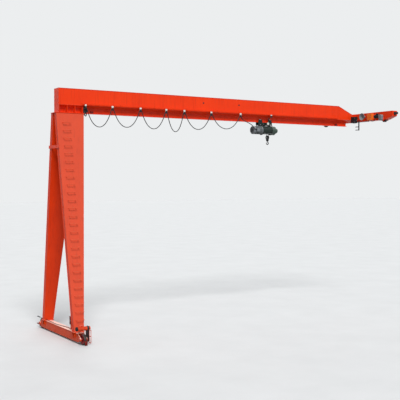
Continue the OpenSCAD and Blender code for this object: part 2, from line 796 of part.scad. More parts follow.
saddle_z = carrier_z - cable_d / 2;
function cosh(v) = (exp(v) + exp(-v)) / 2;
hang = 1.75;
function loop_sag(span) = sqrt(max(loop_cable * loop_cable - span * span, 10000) * 3 / 16);
function loop_pt(x0, x1, u) = [x0 + (x1 - x0) * u, -track_y,
    saddle_z - loop_sag(x1 - x0) * (cosh(hang) - cosh(hang * (2 * u - 1))) / (cosh(hang) - 1)];
loop_steps = 10;
hold_count = len(hold_x);
terminal_size = [150, 70, 130];
terminal_x = drum_x0 - motor_l + 130;
motor_gland = [terminal_x - run_gap, -motor_d / 2 - terminal_size[1] / 4, drum_z + 20];
cable_line = concat(
    [for (i = [0:hold_count - 2], k = [0:loop_steps - 1]) loop_pt(hold_x[i], hold_x[i + 1], k / loop_steps)],
    [[hold_x[hold_count - 1], -track_y, saddle_z],
     [hold_x[hold_count - 1] + 120, -track_y + 10, saddle_z - 110],
     motor_gland + [-330, -70, 210],
     motor_gland + [-60, 0, 0],
     motor_gland]);

function unit(v) = v / norm(v);
function tangent(p, i) = unit(p[min(i + 1, len(p) - 1)] - p[max(i - 1, 0)]);
module swept_tube(p, d, sides) {
    rings = [for (i = [0:len(p) - 1]) let (t = tangent(p, i), side = [0, 1, 0], up = cross(t, side))
        for (k = [0:sides - 1]) p[i] + d / 2 * (cos(360 * k / sides) * side + sin(360 * k / sides) * up)];
    n = len(p);
    faces = concat(
        [[for (k = [0:sides - 1]) sides - 1 - k]],
        [[for (k = [0:sides - 1]) (n - 1) * sides + k]],
        [for (i = [0:n - 2], k = [0:sides - 1])
            [i * sides + k, i * sides + (k + 1) % sides, (i + 1) * sides + (k + 1) % sides, (i + 1) * sides + k]]);
    polyhedron(points = rings, faces = faces, convexity = 6);
}
module festoon_cable() { color(black) swept_tube(cable_line, cable_d, 8); }

// Hoist trolley
trolley_axle_z = i_low_z + i_flange_t + trolley_wheel_d / 2 + run_gap;
side_plate_y = i_beam_w / 2 + 18;
side_plate_t = 12;
plate_low = 130;
plate_high = 10;
lobe_top_w = 85;
lobe_low_w = 110;
lobe_past = 45;
pin_d = 24;
module side_plate_outline() {
    a = trolley_axles / 2;
    low = i_low_z - plate_low;
    high = i_low_z - plate_high;
    top = trolley_axle_z + lobe_past;
    polygon([
        [-a - lobe_low_w, low], [-a - lobe_low_w, high], [-a - lobe_top_w, top], [-a + lobe_top_w, top],
        [-a + lobe_low_w, high], [a - lobe_low_w, high], [a - lobe_top_w, top], [a + lobe_top_w, top],
        [a + lobe_low_w, high], [a + lobe_low_w, low]]);
}
module trolley_frame() {
    tie = 40;
    color(drum_green) difference() {
        union() {
            for (side = [-1, 1])
                translate([hoist_x, side * (side_plate_y + side_plate_t / 2), 0])
                    along_y(side_plate_t) side_plate_outline();
            for (s = [-1, 1]) translate([hoist_x + s * trolley_axles / 2, 0, i_low_z - plate_low])
                mid_box([tie, 2 * side_plate_y + side_plate_t, tie]);
        }
        for (s = [-1, 1])
            translate([hoist_x + s * trolley_axles / 2, -side_plate_y - 2 * side_plate_t, trolley_axle_z])
                rod_y(pin_d + 2 * shaft_gap, 2 * side_plate_y + 4 * side_plate_t);
    }
}

// The travel drive stands out from the near side plate between the wheels
travel_x = hoist_x + 40;
travel_case = [140, 60, 100];
travel_motor_d = 120;
travel_motor_l = 105;
travel_cap_t = 6;
module travel_motor() {
    face_y = -side_plate_y - side_plate_t - travel_case[1];
    color(drum_green) translate([travel_x, 0, i_low_z - plate_low / 2]) {
        translate([-travel_case[0] / 2, face_y, -travel_case[2] / 2]) cube(travel_case);
        translate([0, face_y - travel_motor_l, 0]) rod_y(travel_motor_d, travel_motor_l + bar_t);
        translate([0, face_y - travel_motor_l - travel_cap_t, 0])
            rod_y(travel_motor_d - 2 * rim_t, travel_cap_t + bar_t);
    }
}

wheel_in = i_web_t / 2 + 8;
module trolley_wheel(sx, sy) {
    color(steel) translate([hoist_x + sx * trolley_axles / 2, 0, trolley_axle_z]) scale([1, sy, 1]) {
        translate([0, wheel_in, 0]) rod_y(trolley_wheel_d, side_plate_y - 5 - wheel_in);
        translate([0, i_beam_w / 2 + 5, 0]) rod_y(trolley_wheel_d + 2 * wheel_rim, 8);
        translate([0, wheel_in, 0]) rod_y(pin_d, side_plate_y + side_plate_t + axle_past - wheel_in);
    }
}
module wheel_near_left() { trolley_wheel(-1, -1); }
module wheel_near_right() { trolley_wheel(1, -1); }
module wheel_far_left() { trolley_wheel(-1, 1); }
module wheel_far_right() { trolley_wheel(1, 1); }

// Hoist: a slotted housing hangs from the trolley by two saddles, with the rope drum inside
rim_h = 14;
rim_t = 14;
saddle_t = 16;
saddle_in = 60;
rope_slot_w = sheave_d + 2 * rope_d + 50;
slot_in = 50;
module drum_housing() {
    plates_w = 2 * (side_plate_y + side_plate_t);
    color(drum_green) difference() {
        union() {
            translate([drum_x0, 0, drum_z]) rod_x(drum_d, drum_l);
            for (x = [drum_x0, drum_x0 + drum_l - rim_t]) translate([x, 0, drum_z]) rod_x(drum_d + 2 * rim_h, rim_t);
            for (x = [drum_x0 + saddle_in, drum_x0 + drum_l - saddle_in - saddle_t])
                translate([x, -plates_w / 2, drum_z]) cube([saddle_t, plates_w, drum_drop - plate_low]);
        }
        translate([drum_x0 + housing_t, 0, drum_z]) rod_x(drum_d - 2 * housing_t, drum_l - 2 * housing_t);
        translate([drum_x0 + slot_in, -rope_slot_w / 2, drum_z - drum_d])
            cube([drum_l - 2 * slot_in, rope_slot_w, drum_d]);
    }
}

// The drum's grooves, one for each turn of rope, between two flanges
groove_h = 3;
drum_land_r = sheave_d / 2 - rope_d / 2 - run_gap + groove_h;
drum_flange_r = drum_land_r + 40;
module rope_drum() {
    l = drum_l - 2 * housing_t - 2 * run_gap;
    first = drum_flange_t + groove_pitch;
    turns = floor((l - 2 * first) / groove_pitch);
    color(steel) translate([drum_x0 + housing_t + run_gap, 0, drum_z]) turned_x(concat(
        [[0, 0], [drum_flange_r, 0], [drum_flange_r, drum_flange_t], [drum_land_r, drum_flange_t]],
        [for (i = [0:turns - 1]) let (x = first + i * groove_pitch) each [
            [drum_land_r, x], [drum_land_r - groove_h, x + groove_pitch * 0.3],
            [drum_land_r - groove_h, x + groove_pitch * 0.7]]],
        [[drum_land_r, first + turns * groove_pitch], [drum_land_r, l - drum_flange_t],
            [drum_flange_r, l - drum_flange_t], [drum_flange_r, l], [0, l]]));
}

hoist_rib_h = 18;
hoist_ribs = 36;
hoist_cowl_l = 110;
hoist_shield_l = 50;
module hoist_motor() {
    translate([drum_x0 - motor_l, 0, drum_z]) {
        color(motor_grey) {
            finned_motor(motor_d, motor_l, hoist_rib_h, hoist_ribs, hoist_cowl_l, hoist_shield_l);
            fan_cowl(motor_d, hoist_cowl_l);
        }
    }
    color(motor_grey) translate([terminal_x, -motor_d / 2 - terminal_size[1] / 2, drum_z - terminal_size[2] / 2])
        cube(terminal_size);
}

// The gearbox's case steps down to the brake, with ribs along the step
module hoist_gearbox() {
    case_r = drum_d / 2 - 5;
    brake_r = 105;
    case_l = gearbox_l * 0.55;
    brake_x = gearbox_l * 0.65;
    end_edge = 15;
    color(drum_green) translate([drum_x0 + drum_l, 0, drum_z]) {
        turned_x([
            [0, 0], [drum_d / 2 + rim_h, 0], [drum_d / 2 + rim_h, rim_t], [case_r, rim_t],
            [case_r, case_l], [brake_r + end_edge, brake_x], [brake_r, brake_x],
            [brake_r, gearbox_l - end_edge], [brake_r - end_edge, gearbox_l], [0, gearbox_l]]);
        for (a = [0:45:315]) rotate([a, 0, 0]) translate([rim_t / 2, -rib_t, brake_r / 2])
            cube([brake_x - rim_t, 2 * rib_t, case_r + rib_t - brake_r / 2]);
    }
}

panel_size = [300, 180, 130];
panel_drop = 30;
module hoist_panel() {
    color(motor_grey)
        translate([hoist_x - panel_size[0] / 2, side_plate_y + side_plate_t, i_low_z - panel_drop - panel_size[2]]) {
            cube(panel_size);
            translate([door_edge, 0, door_edge])
                cube([panel_size[0] - 2 * door_edge, panel_size[1] + door_t, panel_size[2] - 2 * door_edge]);
        }
}

module hoist_ropes() {
    color(steel) for (y = [-1, 1])
        translate([hook_x, y * sheave_d / 2, sheave_z]) cylinder(d = rope_d, h = drum_z - sheave_z);
}

// Hook block: a grooved sheave between two cheeks, and a crosshead that the hook turns in
block_w = 56;
block_cheek_t = 10;
sheave_w = 34;
hub_d = 70;
crosshead_d = 64;
shank_d = 34;
hook_nut_d = 50;
hook_nut_h = 14;
nut_space = 8;
crosshead_z = sheave_z - sheave_rim_d / 2 - nut_space - hook_nut_h - run_gap - crosshead_d / 2;
module sheave() {
    rim_r = sheave_rim_d / 2;
    root_r = sheave_d / 2 - rope_d / 2 - run_gap;
    groove = rope_d / 2 + 1.5;
    turned_x([
        [0, -block_w / 2], [hub_d / 2, -block_w / 2], [hub_d / 2, -sheave_w / 2],
        [rim_r, -sheave_w / 2], [rim_r, -groove - 4], [root_r, -groove],
        [root_r, groove], [rim_r, groove + 4], [rim_r, sheave_w / 2],
        [hub_d / 2, sheave_w / 2], [hub_d / 2, block_w / 2], [0, block_w / 2]]);
}
module block_cheek() {
    translate([0, sheave_z]) circle(d = sheave_rim_d + 16);
    polygon([
        [-sheave_rim_d * 0.48, sheave_z], [sheave_rim_d * 0.48, sheave_z],
        [crosshead_d * 0.7, crosshead_z], [-crosshead_d * 0.7, crosshead_z]]);
    translate([0, crosshead_z]) circle(d = crosshead_d * 1.4);
}
module hook_block() {
    color(black) translate([hook_x, 0, 0]) difference() {
        union() {
            translate([0, 0, sheave_z]) sheave();
            for (x = [-block_w / 2 - block_cheek_t, block_w / 2])
                translate([x, 0, 0]) along_x(block_cheek_t) block_cheek();
            translate([-block_w / 2 - 2 * block_cheek_t, 0, crosshead_z])
                rod_x(crosshead_d, block_w + 4 * block_cheek_t);
        }
        translate([0, 0, crosshead_z - crosshead_d])
            cylinder(d = shank_d + 2 * run_gap, h = 1.5 * crosshead_d + nut_space);
    }
}

// The hook: a shank held by its nut on the crosshead, and a bowl with a pointed tip
bowl_r = 56;
bowl_w = 36;
bowl_h = 36;
shank_l = 40;
tip_a = -170;
tip_l = 50;
hook_z = crosshead_z - crosshead_d / 2 - shank_l - bowl_r;
module hook_section() {
    polygon([
        [-bowl_h * 0.5, -bowl_w * 0.36], [-bowl_h * 0.4, -bowl_w * 0.48], [-bowl_h * 0.1, -bowl_w * 0.5],
        [bowl_h * 0.4, -bowl_w * 0.3], [bowl_h * 0.5, -bowl_w * 0.16], [bowl_h * 0.5, bowl_w * 0.16],
        [bowl_h * 0.4, bowl_w * 0.3], [-bowl_h * 0.1, bowl_w * 0.5], [-bowl_h * 0.4, bowl_w * 0.48],
        [-bowl_h * 0.5, bowl_w * 0.36]]);
}
module hook() {
    nut_z = crosshead_z + crosshead_d / 2 + run_gap;
    color(steel) translate([hook_x, 0, 0]) {
        translate([0, 0, hook_z + bowl_r]) cylinder(d = shank_d, h = nut_z + hook_nut_h - hook_z - bowl_r);
        translate([0, 0, nut_z]) cylinder(d = hook_nut_d, h = hook_nut_h);
        translate([0, 0, hook_z + bowl_r]) cylinder(d1 = bowl_h, d2 = shank_d, h = shank_l / 2);
        translate([0, 0, hook_z]) rotate([90, 0, 0]) {
            rotate([0, 0, tip_a]) rotate_extrude(angle = 90 - tip_a) translate([bowl_r, 0]) hook_section();
            rotate([0, 0, tip_a]) translate([bowl_r, 0, 0]) rotate([90, 0, 0])
                cylinder(d1 = bowl_w * 0.75, d2 = bowl_w * 0.4, h = tip_l);
        }
    }
}

girder_box();
hoist_beam();
girder_end_plate();
trolley_stops();
leg_head_plate();
leg_head_gussets();
near_leg();
far_leg();
leg_tie_plate();
ladder_rungs();
rung_posts();
ground_beam();
wheel_cheeks();
near_ground_wheel();
far_ground_wheel();
ground_gearbox();
ground_motor();
drive_guard();
control_box();
control_box_stand();
limit_switch_arm();
runway_carriage();
near_runway_wheel();
far_runway_wheel();
runway_gearbox();
runway_motor();
carriage_buffers();
collector_arm();
carriage_box();
warning_horn();
junction_box();
festoon_track();
track_brackets();
festoon_cable();
trolley_frame();
travel_motor();
wheel_near_left();
wheel_near_right();
wheel_far_left();
wheel_far_right();
hoist_motor();
drum_housing();
rope_drum();
hoist_gearbox();
hoist_panel();
hoist_ropes();
hook_block();
hook();
cable_anchor();
tow_trolley();
for (i = [1:len(trolley_names)])
    cable_trolley(i);
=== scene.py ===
"""A semi-gantry crane: box girder on an A-shaped pair of legs, rope hoist under it, cable loops beside it.

The main forms are the solids of the part's source. This script gives them their finishes, and adds what is
too small or too soft for the source: cables, rope strands, bolts, weld beads, guards and conduits.
"""
import bpy
import json
import math
from mathutils import Matrix, Vector


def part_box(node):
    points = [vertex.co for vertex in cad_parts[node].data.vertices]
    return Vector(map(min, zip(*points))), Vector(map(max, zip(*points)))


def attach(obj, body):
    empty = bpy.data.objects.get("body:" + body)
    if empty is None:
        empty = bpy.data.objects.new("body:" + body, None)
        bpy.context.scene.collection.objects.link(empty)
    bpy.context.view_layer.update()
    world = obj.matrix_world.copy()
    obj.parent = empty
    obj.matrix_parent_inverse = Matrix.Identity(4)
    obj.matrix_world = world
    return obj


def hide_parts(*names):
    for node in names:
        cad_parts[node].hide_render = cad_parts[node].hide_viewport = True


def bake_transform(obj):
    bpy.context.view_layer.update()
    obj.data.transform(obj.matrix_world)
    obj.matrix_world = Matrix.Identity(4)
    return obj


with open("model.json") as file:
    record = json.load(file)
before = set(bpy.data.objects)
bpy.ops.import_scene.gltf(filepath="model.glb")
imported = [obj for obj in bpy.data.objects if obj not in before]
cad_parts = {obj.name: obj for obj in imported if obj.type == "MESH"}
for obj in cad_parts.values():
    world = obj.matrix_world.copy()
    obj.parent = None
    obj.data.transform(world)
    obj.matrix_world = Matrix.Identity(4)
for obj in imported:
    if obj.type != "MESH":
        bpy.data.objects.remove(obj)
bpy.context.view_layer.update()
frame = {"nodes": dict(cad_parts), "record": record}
nodes = frame["nodes"]

# Sizes in metres, as the part's source has them.
# Girder: its top, the fold between web and skirt, and the outer faces of its webs
GIRDER_TOP = 9.632
FOLD_Z = 8.989
WEB_Y = 0.225
# Legs: the heights of their feet and heads
LEG_LOW = 0.34
LEG_HIGH = 8.661
# Rail wheels: distance from the middle, axle heights, and the radii where the treads begin
WHEEL_Y = 2.08
GROUND_AXLE_Z = 0.12
GROUND_TREAD_R = 0.172
RUNWAY_AXLE_Z = 8.935
RUNWAY_TREAD_R = 0.119
# Runway carriage: the line of its wheels, and the outer faces of the plates that its buffers stand on
RUNWAY_X = 15.35
BUFFER_PLATE_Y = 2.74
# Cable loops: the track's line, the height and radius of the shoes that carry the cable, the cable's
# thickness, its length in each loop, how pointed the hanging curve is, and where each carrier is at rest
TRACK_Y = -0.3
SADDLE_Z = 8.905
SHOE_R = 0.053
CABLE_D = 0.028
LOOP_CABLE = 2.08
HANG = 1.75
HOLD_X = [0.9, 2.07, 3.34, 4.55, 5.43, 6.79, 8.33]
# Hoist: the motor's gland, the hook's line, the drum's axis in its slotted housing, the sheave and the rope
GLAND = Vector((9.2967, -0.2025, 8.346))
HOOK_X = 10.0303
DRUM_Z = 8.326
HOUSING_R = 0.2
HOUSING_SLOT_Y = 0.111
SHEAVE_Z = 8.0155
SHEAVE_R = 0.075
ROPE_D = 0.011
# Hoist trolley: its wheels, and its side plates' outer faces
TROLLEY_WHEEL_X = (9.56, 10.1)
TROLLEY_WHEEL_Z = 8.7513
TROLLEY_SIDE = 0.105
# The floor lies just under the wheels
FLOOR_Z = -0.081

SIDES = (-1, 1)
LEFT, RIGHT = (-1, 0, 0), (1, 0, 0)
FRONT, BACK = (0, -1, 0), (0, 1, 0)
DOWN, UP = (0, 0, -1), (0, 0, 1)


# How a piece is made
def nothing_selected():
    if bpy.context.object and bpy.context.object.mode != "OBJECT":
        bpy.ops.object.mode_set(mode="OBJECT")
    bpy.ops.object.select_all(action="DESELECT")


def only(*pieces):
    """Those pieces are selected and nothing else, and the first is active."""
    nothing_selected()
    for piece in pieces:
        piece.select_set(True)
    bpy.context.view_layer.objects.active = pieces[0]


def settle(piece):
    """The object goes to the origin, unturned, with its place in its mesh."""
    only(piece)
    bpy.ops.object.transform_apply(location=True, rotation=True, scale=True)


def smoothed(piece, degrees):
    """Smooth shading, with a hard line at edges sharper than that angle."""
    only(piece)
    bpy.ops.object.shade_smooth_by_angle(angle=math.radians(degrees))
    return piece


def slab(name, low, high, edge=0.003):
    """A plate or a case between two corners, with its edges rounded by that radius."""
    nothing_selected()
    middle = [(a + b) / 2 for a, b in zip(low, high)]
    bpy.ops.mesh.primitive_cube_add(size=1, location=middle)
    piece = bpy.context.object
    piece.name = name
    piece.scale = [abs(b - a) for a, b in zip(low, high)]
    settle(piece)
    bevel = piece.modifiers.new("edges", "BEVEL")
    bevel.width = edge
    bevel.segments = 2
    bevel.limit_method = "ANGLE"
    bevel.angle_limit = math.radians(30)
    bpy.ops.object.modifier_apply(modifier=bevel.name)
    return smoothed(piece, 40)


def turned(name, start, axis, stations, sides=32):
    """A lathe piece: from a disc at start, extruded along axis through (distance, radius) stations."""
    nothing_selected()
    at, radius = stations[0]
    bpy.ops.mesh.primitive_circle_add(vertices=sides, radius=radius, fill_type="NGON")
    piece = bpy.context.object
    piece.name = name
    bpy.ops.object.mode_set(mode="EDIT")
    bpy.ops.mesh.select_all(action="SELECT")
    bpy.ops.transform.translate(value=(0, 0, at))
    for distance, wide in stations[1:]:
        bpy.ops.mesh.extrude_region_move(TRANSFORM_OT_translate={"value": (0, 0, distance - at)})
        if abs(wide - radius) > 1e-7:
            ratio = wide / radius
            bpy.ops.transform.resize(value=(ratio, ratio, 1), center_override=(0, 0, distance))
        at, radius = distance, wide
    bpy.ops.mesh.select_all(action="SELECT")
    bpy.ops.mesh.normals_make_consistent(inside=False)
    bpy.ops.object.mode_set(mode="OBJECT")
    turn = Vector(UP).rotation_difference(Vector(axis).normalized())
    piece.matrix_world = Matrix.Translation(start) @ turn.to_matrix().to_4x4()
    settle(piece)
    return smoothed(piece, 35)


def joined(name, pieces):
    """The pieces as one object."""
    only(*pieces)
    if len(pieces) > 1:
        bpy.ops.object.join()
    piece = bpy.context.object
    piece.name = name
    return piece


def copies(name, piece, places):
    """The piece put through each of the matrices, each copy with its own mesh, as one object."""
    made = []
    for place in places:
        other = piece.copy()
        other.data = piece.data.copy()
        bpy.context.scene.collection.objects.link(other)
        other.data.transform(place)
        made.append(other)
    bpy.data.objects.remove(piece)
    return joined(name, made)


def tube(name, lines, diameter, sides=8):
    """A round bar or cable along each line of points, with an even number of sides."""
    curve = bpy.data.curves.new(name, "CURVE")
    curve.dimensions = "3D"
    curve.bevel_depth = diameter / 2
    curve.bevel_resolution = sides // 2 - 2
    curve.use_fill_caps = True
    for line in lines:
        spline = curve.splines.new("POLY")
        spline.points.add(len(line) - 1)
        for point, at in zip(spline.points, line):
            point.co = (*at, 1)
    piece = bpy.data.objects.new(name, curve)
    bpy.context.scene.collection.objects.link(piece)
    only(piece)
    bpy.ops.object.convert(target="MESH")
    return smoothed(bpy.context.object, 50)


# How a finish is made
def colour(value):
    """A six-figure sRGB colour as linear red, green, blue and alpha."""
    parts = [int(value[i:i + 2], 16) / 255 for i in (1, 3, 5)]
    return [c / 12.92 if c <= 0.04045 else ((c + 0.055) / 1.055) ** 2.4 for c in parts] + [1.0]


def add(tree, kind, settings=None, **inputs):
    """Adds a node with its settings. Inputs are linked or set, by name, or by number as _0 and _1."""
    node = tree.nodes.new(kind)
    for key, value in (settings or {}).items():
        setattr(node, key, value)
    for key, value in inputs.items():
        socket = node.inputs[int(key[1:])] if key[0] == "_" else node.inputs[key.replace("_", " ")]
        if isinstance(value, bpy.types.NodeSocket):
            tree.links.new(value, socket)
        else:
            socket.default_value = value
    return node


def reckoned(tree, operation, *values):
    """The result of a Math node on one or two values."""
    inputs = {f"_{i}": value for i, value in enumerate(values)}
    return add(tree, "ShaderNodeMath", {"operation": operation}, **inputs).outputs[0]


def new_finish(name, roughness, metallic=0.0, **constants):
    """A material with those values on its shader, as material, node tree and shader."""
    material = bpy.data.materials.new(name)
    material.use_nodes = True
    shader = material.node_tree.nodes["Principled BSDF"]
    for key, value in {"Roughness": roughness, "Metallic": metallic, **constants}.items():
        shader.inputs[key.replace("_", " ")].default_value = value
    return material, material.node_tree, shader


def own_place(tree):
    """The object's own coordinates."""
    return add(tree, "ShaderNodeTexCoord").outputs["Object"]


def one_axis(tree, vector, axis):
    return add(tree, "ShaderNodeSeparateXYZ", Vector=vector).outputs[axis]


def mottled(tree, size, detail=3.0, stretch=None):
    """Noise with patches of that size in metres, on the object's own coordinates."""
    place = own_place(tree)
    if stretch:
        place = add(tree, "ShaderNodeMapping", Vector=place, Scale=stretch).outputs["Vector"]
    noise = add(tree, "ShaderNodeTexNoise", Vector=place, Scale=1 / size, Detail=detail, Roughness=0.6)
    return noise.outputs["Fac"]


def graded(tree, factor, stops):
    """A colour ramp on factor through (position, colour or value) stops."""
    ramp = add(tree, "ShaderNodeValToRGB", _0=factor)
    elements = ramp.color_ramp.elements
    while len(elements) < len(stops):
        elements.new(0.5)
    for element, (position, value) in zip(elements, stops):
        element.position = position
        element.color = colour(value) if isinstance(value, str) else (value, value, value, 1)
    return ramp.outputs["Color"]


def mixed(tree, factor, first, second):
    """The first colour where factor is 0, the second where it is 1."""
    return add(tree, "ShaderNodeMix", {"data_type": "RGBA"}, _0=factor, _6=first, _7=second).outputs[2]


def bumped(tree, shader, layers):
    """Bumps on the shader from (height, strength, distance) layers."""
    normal = None
    for height, strength, distance in layers:
        links = {"Height": height, "Strength": strength, "Distance": distance}
        if normal:
            links["Normal"] = normal
        normal = add(tree, "ShaderNodeBump", **links).outputs["Normal"]
    tree.links.new(normal, shader.inputs["Normal"])


def enamel(name, light, dark, grime, roughness, dust_and_sheen=None, lies=0.6, chips=0.0):
    """Sprayed enamel over steel: slow change over each plate, and grime that has run down it.

    The last colour is pale dust where a face looks up, and a painted sheen, a painted reflection of bright
    light, where a face leans back.
    lies is how much of it a level face holds. chips is how far the enamel is chipped.
    """
    material, tree, shader = new_finish(name, roughness, Coat_Weight=0.04, Coat_Roughness=0.2,
                                        Specular_IOR_Level=0.22)
    tone = graded(tree, mottled(tree, size=0.9), [(0.3, dark), (0.7, light)])
    # Rain and oil run down: patches 60 mm wide and 1.2 m long
    runs = mottled(tree, size=0.06, detail=4.0, stretch=(1, 1, 0.05))
    tone = mixed(tree, graded(tree, runs, [(0.52, 0.0), (0.8, 0.42)]), tone, colour(grime))
    if dust_and_sheen:
        # Pale dust settles where a face looks up. Where a face leans back, a thin film of the same pale
        # colour is a painted sheen: a painted reflection of bright light from above, not dust
        normal = add(tree, "ShaderNodeNewGeometry").outputs["Normal"]
        dust_and_sheen_mask = graded(tree, one_axis(tree, normal, "Z"),
                       [(0.03, 0.0), (0.15, 0.13), (0.35, 0.2), (0.95, lies)])
        tone = mixed(tree, dust_and_sheen_mask, tone, colour(dust_and_sheen))
    if chips:
        # Chips a few centimetres across show the dark primer
        patches = mottled(tree, size=0.045, detail=6.0)
        chipped = graded(tree, patches, [(0.66 - chips, 0.0), (0.68 - chips, 0.85)])
        tone = mixed(tree, chipped, tone, colour("#3d1a12"))
    tree.links.new(tone, shader.inputs["Base Color"])
    patches = mottled(tree, size=0.15, detail=4.0)
    shine = graded(tree, patches, [(0.3, roughness - 0.08), (0.75, roughness + 0.14)])
    tree.links.new(shine, shader.inputs["Roughness"])
    # Plates are drawn in a little between their welds, and the enamel has an orange-peel skin
    drawn_in = mottled(tree, size=0.5, detail=1.0)
    peel = mottled(tree, size=0.014, detail=2.0)
    bumped(tree, shader, [(drawn_in, 0.25, 0.004), (peel, 0.12, 0.0006)])
    return material


# Vermilion enamel over welded plate: a strong warm red with a soft gloss
crane_enamel = enamel("vermilion enamel", "#f23c06", "#e83505", "#a02506", 0.42, "#e8947c")
# The same enamel on the legs, a little rougher, with painted shade: its colours are darker to stand for the
# dimmer light on the legs
shaded_leg_enamel = enamel("vermilion enamel with painted shade", "#dc3806", "#d03205", "#922206", 0.45, "#e09a80")
# The same enamel on the ground carriage, chipped and dulled by dust
ground_enamel = enamel("dusty vermilion enamel", "#e0480f", "#cc3c0a", "#76260c", 0.5, "#fac8b8",
                       lies=1.0, chips=0.02)
# Dark red primer on small brackets and boxes
primer = enamel("dark red primer", "#7c1a14", "#63130f", "#35100c", 0.55, "#94504a")
# Black machinery enamel
black_enamel = enamel("black machinery enamel", "#26272a", "#1a1b1e", "#3a3630", 0.45, "#4a4846")
# Dark green machinery enamel on the hoist
green_enamel = enamel("dark green machinery enamel", "#2c3a36", "#222e2b", "#171a18", 0.42, "#55605c")
# The same enamel on the hoist's trolley, black with soot
soot_green = enamel("soot green machinery enamel", "#1c2724", "#151d1b", "#0e1110", 0.42, "#3c4542")
# The same enamel on the drum's housing, a little deeper
deep_green = enamel("deep green machinery enamel", "#202c28", "#19231f", "#101312", 0.42, "#424c48")
# The same enamel on the hoist's gearbox, worn pale
worn_green = enamel("worn green machinery enamel", "#48584f", "#3c4a43", "#222826", 0.4, "#76827c")
# Grey machinery enamel on the motors and the small case
grey_enamel = enamel("grey machinery enamel", "#83888b", "#70757a", "#4a4b4a", 0.45, "#9a9c9a")


def steel(name, light, dark, roughness, grain):
    """Bare steel: brighter and darker patches, with fine marks of that grain in metres."""
    material, tree, shader = new_finish(name, roughness, metallic=1.0)
    tone = graded(tree, mottled(tree, grain * 12), [(0.3, dark), (0.75, light)])
    tree.links.new(tone, shader.inputs["Base Color"])
    patches = mottled(tree, grain * 5, detail=4.0)
    shine = graded(tree, patches, [(0.3, roughness - 0.08), (0.8, roughness + 0.15)])
    tree.links.new(shine, shader.inputs["Roughness"])
    bumped(tree, shader, [(mottled(tree, grain), 0.3, 0.0006)])
    return material


# Turned steel, run bright
turned_steel = steel("turned steel", "#b9babb", "#8b8782", 0.35, grain=0.012)
# Forged steel: dark scale with a dull shine
forged_steel = steel("forged steel", "#5a5a5c", "#3c3b3c", 0.5, grain=0.01)
# Zinc plated fasteners
zinc = steel("zinc plated steel", "#a9abad", "#8c8e8f", 0.38, grain=0.004)


def wire_rope():
    """Wire rope: bright wires with dark grease between the strands."""
    material, tree, shader = new_finish("greased wire rope", 0.45, metallic=0.9)
    tone = graded(tree, mottled(tree, size=0.004, detail=2.0), [(0.35, "#3a3836"), (0.7, "#8c8b88")])
    tree.links.new(tone, shader.inputs["Base Color"])
    bumped(tree, shader, [(mottled(tree, size=0.004, detail=2.0), 0.6, 0.0008)])
    return material


def moulded(name, light, dark, roughness, grain):
    """Moulded rubber or plastic: an even tone with a fine grain and no metal."""
    material, tree, shader = new_finish(name, roughness)
    tone = graded(tree, mottled(tree, size=0.2, detail=4.0), [(0.3, dark), (0.7, light)])
    tree.links.new(tone, shader.inputs["Base Color"])
    bumped(tree, shader, [(mottled(tree, grain, detail=2.0), 0.25, 0.0005)])
    return material


# Black rubber, moulded and dull, on the buffers
buffer_rubber = moulded("moulded buffer rubber", "#1e1e1f", "#151516", 0.75, grain=0.006)
# The cables' rubber sheath
cable_rubber = moulded("rubber cable sheath", "#1b1b1c", "#131314", 0.62, grain=0.004)
# White nylon, moulded
white_plastic = moulded("white moulded nylon", "#eceae4", "#dcdad2", 0.45, grain=0.006)
# An orange plastic enclosure, moulded
orange_plastic = moulded("orange moulded enclosure", "#f07a2a", "#e26a1c", 0.45, grain=0.006)

finish_of_slot = {
    "crane_paint": crane_enamel, "dark_red_paint": primer, "gear_paint": black_enamel,
    "hoist_paint": green_enamel, "motor_paint": grey_enamel, "block_paint": black_enamel,
    "orange_plastic": orange_plastic, "white_plastic": white_plastic,
    "buffer_rubber": buffer_rubber, "cable_rubber": cable_rubber,
    "wheel_steel": turned_steel, "hook_steel": forged_steel, "rope_wire": wire_rope(),
}


def wear(piece, finish):
    piece.data.materials.clear()
    piece.data.materials.append(finish)
    return piece


def fit(piece, body, slot, finish=None):
    """The piece rides on its body and takes its finish from the record's slot, unless it has its own."""
    wear(piece, finish or finish_of_slot[slot])
    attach(piece, body)


# Finishes of the CAD nodes
def opened(material):
    """The material's node tree and shader, and the colour that it has so far."""
    shader = material.node_tree.nodes["Principled BSDF"]
    return material.node_tree, shader, shader.inputs["Base Color"].links[0].from_socket


def two_tone(name, start, axis, at, below):
    """Enamel, with another colour below that place on the axis, as where a cowl or an arm is fixed on."""
    material = enamel(name, *start, 0.45)
    tree, shader, first = opened(material)
    side = reckoned(tree, "GREATER_THAN", one_axis(tree, own_place(tree), axis), at)
    tree.links.new(mixed(tree, side, colour(below), first), shader.inputs["Base Color"])
    return material


def worn_rungs(middle_x):
    """Step irons: enamel rubbed by boots, most over the middle 80 mm and not at all past 200 mm."""
    material = enamel("enamel rubbed by boots", "#e6440e", "#d23c0c", "#8a300f", 0.48, "#d98a6c")
    tree, shader, first = opened(material)
    off = reckoned(tree, "SUBTRACT", one_axis(tree, own_place(tree), "X"), middle_x)
    near_middle = graded(tree, reckoned(tree, "ABSOLUTE", off), [(0.04, 1.0), (0.1, 0.0)])
    patchy = graded(tree, mottled(tree, size=0.02, detail=4.0), [(0.45, 0.0), (0.62, 0.45)])
    worn = reckoned(tree, "MULTIPLY", near_middle, patchy)
    tree.links.new(mixed(tree, worn, first, colour("#9a6a58")), shader.inputs["Base Color"])
    return material


